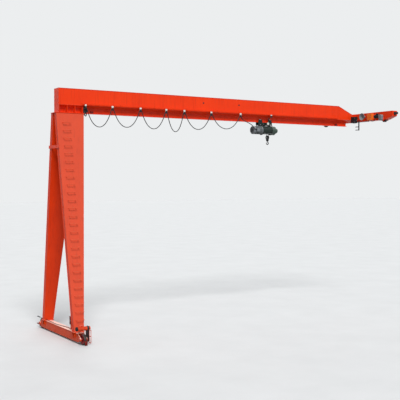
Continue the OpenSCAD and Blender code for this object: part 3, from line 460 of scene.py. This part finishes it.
def wheel_finish(name, y, z, radius):
    """A cast wheel with its axle at y and z: dark red enamel inside that radius, steel run bright outside."""
    material = enamel(name, "#8c1620", "#741019", "#2c0c0c", 0.45, "#8a5048")
    tree, shader, first = opened(material)
    from_axle = add(tree, "ShaderNodeMapping", Vector=own_place(tree), Location=(0, -y, -z),
                    Scale=(0, 1, 1)).outputs["Vector"]
    reach = add(tree, "ShaderNodeVectorMath", {"operation": "LENGTH"}, _0=from_axle).outputs["Value"]
    rim = reckoned(tree, "GREATER_THAN", reach, radius)
    tree.links.new(mixed(tree, rim, first, colour("#4f4643")), shader.inputs["Base Color"])
    tree.links.new(reckoned(tree, "MULTIPLY", rim, 0.8), shader.inputs["Metallic"])
    return material


# The light, dark and grime colours of the enamels that meet another colour
green_start = ("#2a3a35", "#1e2a27", "#141715")
red_start = ("#e2542e", "#d04824", "#7a2c14")
white_start = ("#eceae4", "#dcdad2", "#b8b4aa")
finish_of_node = {
    "near_leg": shaded_leg_enamel, "far_leg": shaded_leg_enamel, "ladder_rungs": worn_rungs(middle_x=0.066),
    "ground_beam": ground_enamel, "wheel_cheeks": ground_enamel, "drive_guard": ground_enamel,
    "control_box": primer, "control_box_stand": ground_enamel,
    "ground_motor": two_tone("salmon enamel with a black cowl", red_start, "X", -0.238, "#1a1b1d"),
    "cable_anchor": two_tone("white nylon over primer", white_start, "Z", 8.966, "#2a1210"),
    "tow_trolley": two_tone("white nylon on a green arm", white_start, "Z", 8.985, "#1c2724"),
    "travel_motor": two_tone("green enamel with a pale end cap", green_start, "Y", -0.2695, "#d9d6cd"),
    "trolley_frame": soot_green, "drum_housing": deep_green, "hoist_gearbox": worn_green,
}
for rail, z, radius in (("ground", GROUND_AXLE_Z, GROUND_TREAD_R),
                        ("runway", RUNWAY_AXLE_Z, RUNWAY_TREAD_R)):
    for side, label in zip(SIDES, ("near", "far")):
        finish = wheel_finish(f"cast wheel, {label} {rail}", side * WHEEL_Y, z, radius)
        finish_of_node[f"{label}_{rail}_wheel"] = finish
for part in frame["record"]["subparts"]:
    wear(nodes[part["node"]], finish_of_node.get(part["node"]) or finish_of_slot[part["material_slot"]])


# The camera, at the photograph's place: metres, degrees, and millimetres for its lens and sensor
CAMERA_PLACE = (-11.835, -29.279, 5.98)
CAMERA_TURN = (88.688, 0, -31.908)
LENS, SENSOR = 71.41, 36
FAR_CLIP = 300
nothing_selected()
bpy.ops.object.camera_add(location=CAMERA_PLACE, rotation=[math.radians(a) for a in CAMERA_TURN])
camera = bpy.context.object
camera.data.lens = LENS
camera.data.sensor_width = SENSOR
camera.data.clip_end = FAR_CLIP
bpy.context.scene.camera = camera


# Cable loops beside the girder
def loop_line(x0, x1, steps=22):
    """Over the shoe at x0, down into a hanging curve, and up onto the shoe at x1."""
    span = x1 - x0
    # How far a flat arc of the cable's length sags over that span. deep is the depth of the curve's form.
    sag = math.sqrt((LOOP_CABLE ** 2 - span ** 2) * 3 / 16)
    deep = math.cosh(HANG) - 1
    lean = math.atan(2 * sag * HANG * math.sinh(HANG) / deep / span)
    middle = SADDLE_Z - SHOE_R
    arc = [Vector((SHOE_R * math.sin(lean * k / 4), 0, SHOE_R * math.cos(lean * k / 4))) for k in range(5)]
    line = [Vector((x0, TRACK_Y, middle)) + p for p in arc]
    off, top = arc[-1].x, middle + arc[-1].z
    for k in range(1, steps):
        # v goes from -1 to 1 in equal lengths of cable
        v = math.asinh((2 * k / steps - 1) * math.sinh(HANG)) / HANG
        fallen = (math.cosh(HANG) - math.cosh(HANG * v)) / deep
        x = x0 + off + (span - 2 * off) * (v + 1) / 2
        line.append(Vector((x, TRACK_Y, top - (top - SADDLE_Z + sag) * fallen)))
    return line + [Vector((x1 - p.x, TRACK_Y, middle + p.z)) for p in reversed(arc)]


def bundle(line):
    """Four lines beside each other round the middle one, for cables that hang as a bundle."""
    spread = CABLE_D / 4
    side = Vector(BACK)
    four = []
    for across, out in ((-1, -1), (1, -1), (1, 1), (-1, 1)):
        strand = []
        for i, point in enumerate(line):
            along = (line[min(i + 1, len(line) - 1)] - line[max(i - 1, 0)]).normalized()
            up = along.cross(side).normalized()
            strand.append(point + side * across * spread + up * out * spread)
        four.append(strand)
    return four


# Each of the four cables is a little thicker than half the bundle, so that they touch
ONE_CABLE_D = CABLE_D / 2 + 0.0008


def cable_run(name, line):
    """A bundle of cables along the line."""
    piece = tube(name, bundle(line), ONE_CABLE_D)
    wear(piece, cable_rubber)
    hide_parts("festoon_cable")
    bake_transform(piece)


carriers = ["crane"] + [f"cable_trolley_{i}" for i in range(1, 7)]
for i in range(6):
    line = loop_line(HOLD_X[i], HOLD_X[i + 1])
    cable_run(f"cable_loop_{i + 1}", line)

# The last run goes from the sixth trolley to the motor's gland. Its first piece hangs off that trolley's
# shoe as far as a sleeve, where the trolley moves 0.812 of the hoist's travel. The rest runs on from the
# sleeve to the gland.
SLEEVE_AT = 8
last_x = HOLD_X[-1]
over_shoe = [math.radians(degrees) for degrees in (0, 22, 45, 68)]
run = [Vector((last_x + SHOE_R * math.sin(a), TRACK_Y, SADDLE_Z - SHOE_R + SHOE_R * math.cos(a)))
       for a in over_shoe]
way = [run.pop(), Vector((last_x + 0.085, TRACK_Y + 0.04, SADDLE_Z - 0.12)),
       Vector((last_x + 0.17, TRACK_Y + 0.04, SADDLE_Z - 0.18)),
       GLAND + Vector((-0.33, -0.058, 0.2)), GLAND + Vector((-0.1, 0, 0.01)), GLAND]
for a, b in zip(way, way[1:]):
    run += [a.lerp(b, k / 5) for k in range(5)]
run.append(GLAND)
for _ in range(3):
    run = [run[0]] + [(a + b * 2 + c) / 4 for a, b, c in zip(run, run[1:], run[2:])] + [run[-1]]
lead_line, run = run[:SLEEVE_AT + 1], run[SLEEVE_AT:]
lead = tube("cable_lead", bundle(lead_line), ONE_CABLE_D)
fit(lead, "cable_trolley_6", "cable_rubber")
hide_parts("festoon_cable")
sleeve_ends = [run[0].lerp(lead_line[-2], 0.5), run[0].lerp(run[1], 0.5)]
fit(tube("cable_sleeve", [sleeve_ends], CABLE_D + 0.007, 16), "cable_trolley_6", "gear_paint")
cable_run("cable_loop_7", run)

# Wire rope: two falls, the turn under the sheave, and the turns on the drum
ROPE_LAY = 0.075
STRANDS = 6
STRAND_D = ROPE_D * 0.36


def strands(line):
    """The rope's strands round a straight or curved line, one turn in each lay length."""
    out, gone = [[] for _ in range(STRANDS)], 0.0
    for i, point in enumerate(line):
        along = (line[min(i + 1, len(line) - 1)] - line[max(i - 1, 0)]).normalized()
        side = along.cross(Vector((1, 0, 0.001))).normalized()
        up = along.cross(side)
        if i:
            gone += (point - line[i - 1]).length
        for k in range(STRANDS):
            a = 2 * math.pi * (k / STRANDS + gone / ROPE_LAY)
            out[k].append(point + (side * math.cos(a) + up * math.sin(a)) * ROPE_D * 0.33)
    return out


for side, label in zip(SIDES, ("near", "far")):
    top, low = Vector((HOOK_X, side * SHEAVE_R, DRUM_Z)), Vector((HOOK_X, side * SHEAVE_R, SHEAVE_Z))
    line = [top.lerp(low, k / 40) for k in range(41)]
    fall = wear(tube(f"rope_fall_{label}", strands(line), STRAND_D, 6), finish_of_slot["rope_wire"])
    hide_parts("hoist_ropes")
    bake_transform(fall)
around = [Vector((HOOK_X, SHEAVE_R * math.cos(a), SHEAVE_Z - SHEAVE_R * math.sin(a)))
          for a in [math.pi * k / 24 for k in range(25)]]
fit(tube("rope_under_sheave", strands(around), STRAND_D, 6), "hook_block", "rope_wire")
# On the drum, the rope lies at the same distance from the axis as on the sheave
COIL_X, COIL_PITCH, COIL_TURNS, COIL_STEPS = 9.7223, 0.014, 31, 28
coil = []
for t in range(COIL_TURNS * COIL_STEPS):
    a = 2 * math.pi * t / COIL_STEPS
    coil.append(Vector((COIL_X + COIL_PITCH * t / COIL_STEPS, SHEAVE_R * math.sin(a),
                        DRUM_Z + SHEAVE_R * math.cos(a))))
fit(tube("rope_on_drum", [coil], ROPE_D), "hoist", "rope_wire")


# Small fittings, modelled once and copied
def facing(place, normal, spin):
    """The matrix that takes a piece made along +Z at the origin to a place where it looks along normal."""
    turn = Vector(UP).rotation_difference(Vector(normal)).to_matrix().to_4x4()
    return Matrix.Translation(place) @ turn @ Matrix.Rotation(spin, 4, "Z")


def hex_bolts(name, size, spots, body, slot="wheel_steel", finish=zinc):
    """Hexagon heads on round washers, at (place, outward normal) spots. size is across a head's corners."""
    washer = turned("washer", (0, 0, 0), UP, [(0, size * 0.62), (size * 0.1, size * 0.62)], 20)
    head = turned("head", (0, 0, 0), UP,
                  [(size * 0.1, size * 0.5), (size * 0.62, size * 0.5), (size * 0.7, size * 0.38)], 6)
    # Each head stands at another angle, as it was tightened
    places = [facing(place, normal, 0.3 * i) for i, (place, normal) in enumerate(spots)]
    fit(copies(name, joined("bolt", [washer, head]), places), body, slot, finish)


def ring_of(centre, axis, radius, count, start=0.0):
    """Places on a circle round an axis, each with the axis as its outward normal."""
    axis = Vector(axis)
    side = axis.cross(Vector(UP))
    side = side.normalized() if side.length > 0.1 else Vector(RIGHT)
    up = axis.cross(side).normalized()
    angles = [start + 2 * math.pi * k / count for k in range(count)]
    return [(Vector(centre) + (side * math.cos(a) + up * math.sin(a)) * radius, axis) for a in angles]


def door_fittings(name, low, high, face, body):
    """Two hinges, a lock and two glands on a box. face is the door's outward direction."""
    face = Vector(face)
    across = Vector(UP).cross(face)
    middle = (Vector(low) + Vector(high)) / 2
    half = (Vector(high) - Vector(low)) / 2
    out = abs(face.dot(half))
    wide = abs(across.dot(half))
    hinge = [(0, 0.006), (0.018, 0.006), (0.019, 0.005), (0.02, 0.006), (0.04, 0.006)]
    lock = [(0, 0.014), (0.006, 0.014), (0.009, 0.011), (0.009, 0.006), (0.006, 0.005)]
    gland = [(0, 0.017), (0.008, 0.017), (0.009, 0.013), (0.024, 0.013), (0.028, 0.009)]
    made = []
    for k in (-0.6, 0.6):
        at = middle + face * (out + 0.004) - across * (wide - 0.016) + Vector((0, 0, k * half.z - 0.02))
        made.append(turned("hinge", at, UP, hinge, 14))
    at = middle + face * (out + 0.002) + across * (wide - 0.028)
    made.append(turned("lock", at, face, lock, 20))
    for k in (-0.4, 0.4):
        at = middle + across * (wide * k) - Vector((0, 0, half.z))
        made.append(turned("gland", at, DOWN, gland, 6))
    fit(joined(name, made), body, "wheel_steel", zinc)


# Cable trolleys: a half-round shoe carries the cable, and a clamp plate holds it down
def cable_shoe(name):
    """A shoe between two clamp plates, for a carrier at x = 0."""
    lip, width = 0.004, 0.056
    y0 = TRACK_Y - width / 2
    wide, root = SHOE_R + 0.002, SHOE_R - CABLE_D / 2
    rim = [(0, wide), (lip, wide), (lip, root), (width - lip, root), (width - lip, wide), (width, wide)]
    shoe = turned("shoe", (0, y0, SADDLE_Z - SHOE_R), BACK, rim, 40)
    bpy.ops.object.mode_set(mode="EDIT")
    bpy.ops.mesh.select_all(action="SELECT")
    bpy.ops.mesh.bisect(plane_co=(0, 0, SADDLE_Z - SHOE_R - 0.012), plane_no=UP,
                        use_fill=True, clear_inner=True)
    bpy.ops.object.mode_set(mode="OBJECT")
    plates = [slab("plate", (-0.036, y, SADDLE_Z - 0.03), (0.036, y + lip, SADDLE_Z + 0.05), 0.002)
              for y in (y0 - lip, y0 + width)]
    return joined(name, [shoe] + plates)


for i, x in enumerate(HOLD_X):
    shoe = cable_shoe(f"cable_shoe_{i}")
    shoe.data.transform(Matrix.Translation((x, 0, 0)))
    fit(shoe, carriers[i], "gear_paint")
    spots = [((x + dx, TRACK_Y - 0.032, SADDLE_Z + 0.03), FRONT) for dx in (-0.022, 0.022)]
    hex_bolts(f"clamp_bolts_{i}", 0.014, spots, carriers[i])

# The cable's junction case beside the anchor, with the cable's spare turns hung under it
case = slab("case", (0.84, -0.262, 8.71), (0.985, -0.13, 8.9), 0.008)
strap = slab("strap", (0.88, -0.205, 8.89), (0.94, -0.195, 8.985), 0.002)
circle = [2 * math.pi * j / 28 for j in range(29)]
turns = [[Vector((0.925 + 0.04 * math.sin(a), -0.245 + 0.022 * k, 8.64 - (0.075 - 0.008 * k) * math.cos(a)))
          for a in circle] for k in range(4)]
fit(joined("anchor_case", [case, strap, tube("spare", turns, 0.018)]), "crane", "gear_paint")
spots = [((x, -0.262, z), FRONT) for x in (0.855, 0.97) for z in (8.725, 8.885)]
hex_bolts("anchor_case_bolts", 0.012, spots, "crane")

# Bolts at the joints between plates, painted over
low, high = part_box("leg_head_plate")
end_gap = 0.06
bolt_x = [low.x + end_gap + (high.x - low.x - 2 * end_gap) * k / 6 for k in range(7)]
spots = [((x, side * (high.y - 0.035), low.z), DOWN) for side in SIDES for x in bolt_x]
hex_bolts("head_plate_bolts", 0.034, spots, "crane", "crane_paint", crane_enamel)
spots = [((x, side * y, LEG_LOW), UP) for side in SIDES for x in (-0.165, 0.185) for y in (1.45, 1.55, 1.65)]
hex_bolts("foot_bolts", 0.03, spots, "crane", "crane_paint", ground_enamel)

# Rings of bolts on caps, flanges and buffers
cheeks_low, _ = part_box("wheel_cheeks")
_, drive_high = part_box("ground_gearbox")
drum_low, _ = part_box("drum_housing")
gear_low, gear_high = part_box("hoist_gearbox")
buffers_low, buffers_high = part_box("carriage_buffers")
buffer_z = (buffers_low.z + buffers_high.z) / 2
# Name, size, centre, axis, radius, count, angle of the first, body
rings = [(f"{label}_cap_bolts", 0.016, (cheeks_low.x, side * WHEEL_Y, GROUND_AXLE_Z), LEFT,
          0.052, 6, 0.5, "crane") for side, label in zip(SIDES, ("near", "far"))]
rings += [
    ("gear_cap_bolts", 0.014, (drive_high.x, -WHEEL_Y, GROUND_AXLE_Z), RIGHT, 0.05, 6, 0.5, "crane"),
    ("drum_rim_bolts", 0.013, (drum_low.x, 0, DRUM_Z), LEFT, 0.2, 12, 0.2, "hoist"),
    ("hoist_gear_bolts", 0.016, (gear_low.x + 0.014, 0, DRUM_Z), RIGHT, 0.199, 12, 0.26, "hoist"),
    ("brake_cover_bolts", 0.014, (gear_high.x, 0, DRUM_Z), RIGHT, 0.07, 6, 0.2, "hoist"),
]
rings += [(f"{label}_buffer_bolts", 0.016, (RUNWAY_X, side * BUFFER_PLATE_Y, buffer_z), (0, side, 0),
           0.07, 4, 0.785, "crane") for side, label in zip(SIDES, ("near", "far"))]
for name, size, centre, axis, radius, count, start, body in rings:
    hex_bolts(name, size, ring_of(centre, axis, radius, count, start), body)

# Hinges, locks and glands of the boxes
for name, face, body in (("control_box", LEFT, "crane"), ("carriage_box", LEFT, "crane"),
                         ("junction_box", FRONT, "crane"), ("hoist_panel", BACK, "hoist")):
    low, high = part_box(name)
    if name == "control_box":
        # The case and its door, without the roof
        low, high = Vector((-0.086, -1.08, 0.53)), Vector((0.08, -0.95, 0.825))
    door_fittings(f"{name}_fittings", low, high, face, body)

# Weld beads along the girder: under the top plate, at the fold, and where the web's plates meet
bead_left, web_right, skirt_right = -0.18, 14.13, 14.8
seams = []
for side in SIDES:
    top_y, fold_y, joint_y = side * (WEB_Y + 0.001), side * (WEB_Y + 0.0005), side * (WEB_Y - 0.0015)
    seams.append([(bead_left, top_y, GIRDER_TOP - 0.009), (web_right, top_y, GIRDER_TOP - 0.009)])
    seams.append([(bead_left, fold_y, FOLD_Z), (skirt_right, fold_y, FOLD_Z)])
    seams += [[(x, joint_y, FOLD_Z), (x, joint_y, GIRDER_TOP - 0.01)] for x in (3.0, 6.0, 9.0, 12.0)]
fit(tube("girder_welds", seams, 0.009), "crane", "crane_paint")


def leg_edges(z):
    """At that height: the leg's outer face from the middle, and its left and right edges."""
    t = (z - LEG_LOW) / (LEG_HIGH - LEG_LOW)
    left = -(0.19 + 0.126 * t)
    return 1.65 - 1.4 * t, left, left + 0.4 + 0.758 * t


# Weld beads up the four edges of each leg
seams = []
for side in SIDES:
    for at_right in (False, True):
        for depth in (0.012, 0.188):
            seam = []
            for z in (LEG_LOW + 0.01, LEG_HIGH - 0.01):
                outer, left, right = leg_edges(z)
                seam.append((right - 0.012 if at_right else left + 0.012, side * (outer - depth), z))
            seams.append(seam)
fit(tube("leg_welds", seams, 0.009), "crane", "crane_paint")

# Two plugged vent holes high in the near web
plug = [(0, 0.034), (0.004, 0.034), (0.006, 0.031), (0.006, 0.024), (0.002, 0.022), (0.002, 0.012)]
vents = [turned("vent", (x, 0.001 - WEB_Y, 9.378), FRONT, plug, 28) for x in (6.438, 8.294)]
fit(joined("vent_plugs", vents), "crane", "gear_paint")

# Bolts on the girder's end plate, and on the flange plate at the carriage
spots = [((-0.198, side * 0.17, z), LEFT) for side in SIDES for z in (9.05, 9.2, 9.35, 9.5)]
hex_bolts("end_plate_bolts", 0.03, spots, "crane", "crane_paint", crane_enamel)
spots = [((15.178, side * 0.232, z), LEFT) for side in SIDES for z in (8.95, 9.05, 9.16, 9.24)]
hex_bolts("carriage_flange_bolts", 0.028, spots, "crane", "crane_paint", crane_enamel)


# Motors: fan guards, lifting eyes and terminal boxes
def round_line(centre, axis, radius, count=28):
    """A closed circle of points round an axis."""
    points = [place for place, _ in ring_of(centre, axis, radius, count)]
    return points + [points[0]]


def fan_guard(name, centre, axis, radius, body, bars, wire):
    """Concentric wires and spokes over a cowl's open end."""
    lines = [round_line(centre, axis, radius * k) for k in (0.32, 0.5, 0.68, 0.86, 1.0)]
    inner, outer = ring_of(centre, axis, radius * 0.3, bars), ring_of(centre, axis, radius, bars)
    lines += [[a[0], b[0]] for a, b in zip(inner, outer)]
    hub = [(-0.004, radius * 0.3), (0.003, radius * 0.3), (0.006, radius * 0.24)]
    fit(joined(name, [tube(name, lines, wire, 6), turned("hub", centre, axis, hub, 24)]), body, "gear_paint")


def eye_bolt(name, foot, size, body):
    """A lifting eye: a collar and a forged ring of that size across."""
    stations = [(-0.004, size * 0.36), (size * 0.14, size * 0.36), (size * 0.22, size * 0.24),
                (size * 0.42, size * 0.17)]
    collar = turned("collar", foot, UP, stations, 20)
    middle = Vector(foot) + Vector(UP) * size * 0.78
    ring = tube("ring", [round_line(middle, RIGHT, size * 0.36, 24)], size * 0.26, 10)
    fit(joined(name, [collar, ring]), body, "wheel_steel", forged_steel)


fan_guard("hoist_fan_guard", (9.166, 0, DRUM_Z), LEFT, 0.15, "hoist", bars=16, wire=0.005)
fan_guard("ground_fan_guard", (-0.301, -WHEEL_Y, 0.53), LEFT, 0.062, "crane", bars=10, wire=0.004)
fan_guard("runway_fan_guard", (15.105, -1.654, 9.065), BACK, 0.062, "crane", bars=10, wire=0.004)
eye_bolt("hoist_motor_eye", (9.42, 0, DRUM_Z + 0.183), 0.06, "hoist")
eye_bolt("ground_motor_eye", (-0.06, -WHEEL_Y, 0.606), 0.032, "crane")
eye_bolt("hoist_gear_eye", (10.29, 0, DRUM_Z + 0.193), 0.05, "hoist")

# The hoist motor's terminal box: an overlapping lid with four screws, and its gland
fit(slab("terminal_lid", (9.292, -0.228, 8.256), (9.452, -0.214, 8.396), 0.004), "hoist", "motor_paint")
spots = [((x, -0.228, z), FRONT) for x in (9.306, 9.438) for z in (8.27, 8.382)]
hex_bolts("terminal_screws", 0.012, spots, "hoist")
gland = [(0, 0.03), (0.012, 0.03), (0.014, 0.024), (0.034, 0.024), (0.038, 0.018), (0.05, 0.016)]
fit(turned("motor_gland", GLAND + Vector((0.004, 0, 0)), LEFT, gland, 6), "hoist", "gear_paint")

# Terminal boxes on the two small motors: a case and a lid that overlaps it, with four screws
for label, low, high, slot in (("ground", (-0.1, -2.03, 0.575), (-0.01, -1.96, 0.625), "crane_paint"),
                               ("runway", (15.07, -1.88, 9.13), (15.14, -1.78, 9.19), "gear_paint")):
    case = slab("case", low, high, 0.004)
    (x0, y0, _), (x1, y1, case_z) = low, high
    lid_z = case_z + 0.01
    lid = slab("lid", (x0 - 0.004, y0 - 0.004, case_z - 0.002), (x1 + 0.004, y1 + 0.004, lid_z))
    fit(joined(f"{label}_terminal_box", [case, lid]), "crane", slot)
    spots = [((x, y, lid_z), UP) for x in (x0 + 0.006, x1 - 0.006) for y in (y0 + 0.006, y1 - 0.006)]
    hex_bolts(f"{label}_terminal_screws", 0.009, spots, "crane")


# Conduits, clipped to what carries them
def bent(points, bend=0.04, steps=5):
    """A line whose corners are turned with a bend of that radius."""
    points = [Vector(p) for p in points]
    line = [points[0]]
    for a, b, c in zip(points, points[1:], points[2:]):
        into, out = (a - b).normalized(), (c - b).normalized()
        reach = min(bend, (a - b).length * 0.45, (c - b).length * 0.45)
        for k in range(steps + 1):
            t = k / steps
            line.append((b + into * reach) * (1 - t) ** 2 + b * 2 * t * (1 - t) + (b + out * reach) * t ** 2)
    return line + [points[-1]]


def conduit(name, lines, diameter, body):
    fit(tube(name, [bent(line) for line in lines], diameter, 10), body, "gear_paint")


# From the control box to the near motor, and along the beam to the limit switch
conduit("ground_conduits", [
    [(0.0, -1.063, 0.505), (0.0, -1.063, 0.345), (0.0, -1.5, 0.338), (-0.06, -1.8, 0.338),
     (-0.06, -1.93, 0.4), (-0.06, -1.955, 0.6)],
    [(0.0, -0.967, 0.505), (0.0, -0.967, 0.345), (0.03, -0.6, 0.336), (-0.1, 0.4, 0.336),
     (-0.1, 1.62, 0.372), (-0.1, 1.79, 0.372), (-0.15, 1.825, 0.36)]], 0.02, "crane")
# From the carriage's box to the girder, and to the runway motor
conduit("runway_conduits", [
    [(15.12, -1.25, 8.92), (15.12, -1.25, 8.86), (15.17, -1.1, 8.875), (15.17, -0.45, 8.875),
     (15.12, -0.4, 8.95)],
    [(15.12, -1.45, 8.92), (15.12, -1.45, 8.86), (15.12, -1.6, 8.86), (15.1, -1.72, 8.96),
     (15.14, -1.79, 9.14)]], 0.022, "crane")
# From the hoist's panel to the motor, and to the brake
conduit("hoist_conduits", [
    [(9.72, 0.26, 8.524), (9.72, 0.26, 8.4), (9.62, 0.25, 8.36), (9.5, 0.2, 8.34), (9.44, 0.17, 8.33)],
    [(9.94, 0.26, 8.524), (9.94, 0.26, 8.36), (10.02, 0.235, 8.3), (10.19, 0.225, 8.29),
     (10.4, 0.16, 8.29), (10.5, 0.09, 8.3)]], 0.016, "hoist")

# Trolley: nuts on the wheel pins and the cross ties, and bolts at its saddles
CROSS_TIE_Z = 8.571


def on_side_plates(z):
    """A spot on each side plate at both of the trolley's wheel lines, at that height."""
    return [((x, side * TROLLEY_SIDE, z), (0, side, 0)) for x in TROLLEY_WHEEL_X for side in SIDES]


hex_bolts("wheel_pin_nuts", 0.05, on_side_plates(TROLLEY_WHEEL_Z), "hoist", "hook_steel", forged_steel)
hex_bolts("cross_tie_nuts", 0.034, on_side_plates(CROSS_TIE_Z), "hoist")
spots = [((x, -TROLLEY_SIDE, 8.6), FRONT) for x in (9.72, 9.75, 10.11, 10.14)]
hex_bolts("saddle_bolts", 0.022, spots, "hoist")

# The hoist's limit rod under the housing, with its stops and lugs, and its switch
ROD_Y, ROD_Z = -0.17, 8.168
rod = tube("rod", [[(9.70, ROD_Y, ROD_Z), (10.165, ROD_Y, ROD_Z)]], 0.014, 10)
stop = [(0, 0.013), (0.003, 0.016), (0.022, 0.016), (0.025, 0.013)]
stops = [turned("stop", (x, ROD_Y, ROD_Z), RIGHT, stop, 20) for x in (9.78, 10.06)]
lugs = [slab("lug", (x, ROD_Y - 0.012, ROD_Z - 0.01), (x + 0.012, -0.14, 8.21), 0.002)
        for x in (9.702, 10.15)]
fit(joined("limit_rod", [rod] + stops + lugs), "hoist", "hook_steel", zinc)
fit(slab("limit_switch_case", (10.13, -0.2, 8.19), (10.18, -0.15, 8.27), 0.004), "hoist", "gear_paint")

# Weld beads just inside the edges of the slot in the housing's round underside
bead_z = DRUM_Z - math.sqrt(HOUSING_R ** 2 - HOUSING_SLOT_Y ** 2) + 0.002
seams = [[(x, side * (HOUSING_SLOT_Y - 0.003), bead_z) for x in (9.745, 10.12)] for side in SIDES]
fit(tube("housing_welds", seams, 0.006), "hoist", "hoist_paint")

# Hook block: pin nuts and bolts on its cheeks, and guards over the sheave
CHEEK_X = 0.038
GUARD_R = 0.097


def on_cheeks(sideways, z):
    """A spot on both cheeks at each of those places across the crane, at that height."""
    return [((HOOK_X + side * CHEEK_X, y, z), (side, 0, 0)) for side in SIDES for y in sideways]


hex_bolts("block_pin_nuts", 0.05, on_cheeks([0], SHEAVE_Z), "hook_block")
hex_bolts("block_bolts", 0.02, on_cheeks([-0.034, 0.034], SHEAVE_Z - 0.068), "hook_block")
guards = []
for side in SIDES:
    arc = [(HOOK_X, side * GUARD_R * math.cos(a), SHEAVE_Z + GUARD_R * math.sin(a))
           for a in [math.radians(degrees) for degrees in (18, 26, 34, 42)]]
    guards.append(tube("guard", [arc], 0.01))
fit(joined("sheave_guards", guards), "hook_block", "block_paint")

# The hook's spring latch: a strip from a pivot on the shank to the hook's tip
LATCH_L = 0.056
LATCH_LEAN = 48
tip_place = (HOOK_X - 0.058, 0, 7.7787)
strip = slab("strip", (-0.0015, -0.009, 0), (0.0015, 0.009, LATCH_L), 0.001)
pivot = turned("pivot", (0, -0.016, LATCH_L), BACK, [(0, 0.006), (0.032, 0.006)], 14)
latch = joined("hook_latch", [strip, pivot])
latch.data.transform(Matrix.Translation(tip_place) @ Matrix.Rotation(math.radians(LATCH_LEAN), 4, "Y"))
fit(latch, "hook", "hook_steel", zinc)

# Rail sweeps outside the ground wheels, each on a cross bar. The far one is held by bars on both sides, the
# near one by the left bar alone.
SWEEP_Y = 2.335
sweeps = []
for side, bars, cross_right in ((-1, (-0.166,), 0.055), (1, (-0.166, 0.16), 0.166)):
    y = side * SWEEP_Y
    sweeps.append(slab("sweep", (-0.055, y - 0.006, -0.055), (0.055, y + 0.006, 0.1), 0.002))
    for x in bars:
        sweeps.append(slab("bar", (x - 0.006, side * 2.1, 0.07), (x + 0.006, side * 2.336, 0.1), 0.002))
    sweeps.append(slab("cross", (-0.172, y - 0.005, 0.07), (cross_right, y + 0.005, 0.1), 0.002))
fit(joined("rail_sweeps", sweeps), "crane", "dark_red_paint")


# Floor, backdrop and light
def seen_itself(tree):
    """1 for camera, glossy and transmission rays, which show a surface itself, and 0 for scattered light."""
    rays = add(tree, "ShaderNodeLightPath").outputs
    shown = reckoned(tree, "MAXIMUM", rays["Is Camera Ray"], rays["Is Glossy Ray"])
    return reckoned(tree, "MAXIMUM", shown, rays["Is Transmission Ray"])


def sun_lamp(place, degrees, energy, spread):
    """A sun at that place, turned by those degrees. spread is how wide it looks, in degrees."""
    nothing_selected()
    bpy.ops.object.light_add(type="SUN", location=place, rotation=[math.radians(a) for a in degrees])
    lamp = bpy.context.object.data
    lamp.energy = energy
    lamp.angle = math.radians(spread)


nothing_selected()
bpy.ops.mesh.primitive_plane_add(size=400, location=(8, 0, FLOOR_Z))
floor = bpy.context.object
floor.name = "floor"
# The floor is pale to the camera, and as dark as a hall's floor to the light that it throws back
floor_finish, tree, shader = new_finish("pale concrete floor", 0.8)
tone = graded(tree, mottled(tree, size=2.0), [(0.3, "#d6d7d7"), (0.7, "#dbdcdc")])
tree.links.new(mixed(tree, seen_itself(tree), colour("#8e8e8c"), tone), shader.inputs["Base Color"])
wear(floor, floor_finish)

world = bpy.context.scene.world or bpy.data.worlds.new("studio")
bpy.context.scene.world = world
world.use_nodes = True
tree = world.node_tree
tree.nodes.clear()
lit = add(tree, "ShaderNodeBackground", Color=colour("#eef2f6"), Strength=0.5).outputs[0]
seen = add(tree, "ShaderNodeBackground", Color=colour("#eceeef"), Strength=1.0).outputs[0]
both = add(tree, "ShaderNodeMixShader", _0=seen_itself(tree), _1=lit, _2=seen).outputs[0]
add(tree, "ShaderNodeOutputWorld", Surface=both)

# A soft main light from the front, and a weaker one from behind, so that the far side isn't flat in shade
sun_lamp((-10, -20, 20), (47, 0, -20), energy=2.75, spread=22)
sun_lamp((10, 20, 20), (-55, 0, -30), energy=0.5, spread=40)

bpy.context.scene.view_settings.view_transform = "Standard"
bpy.context.view_layer.update()
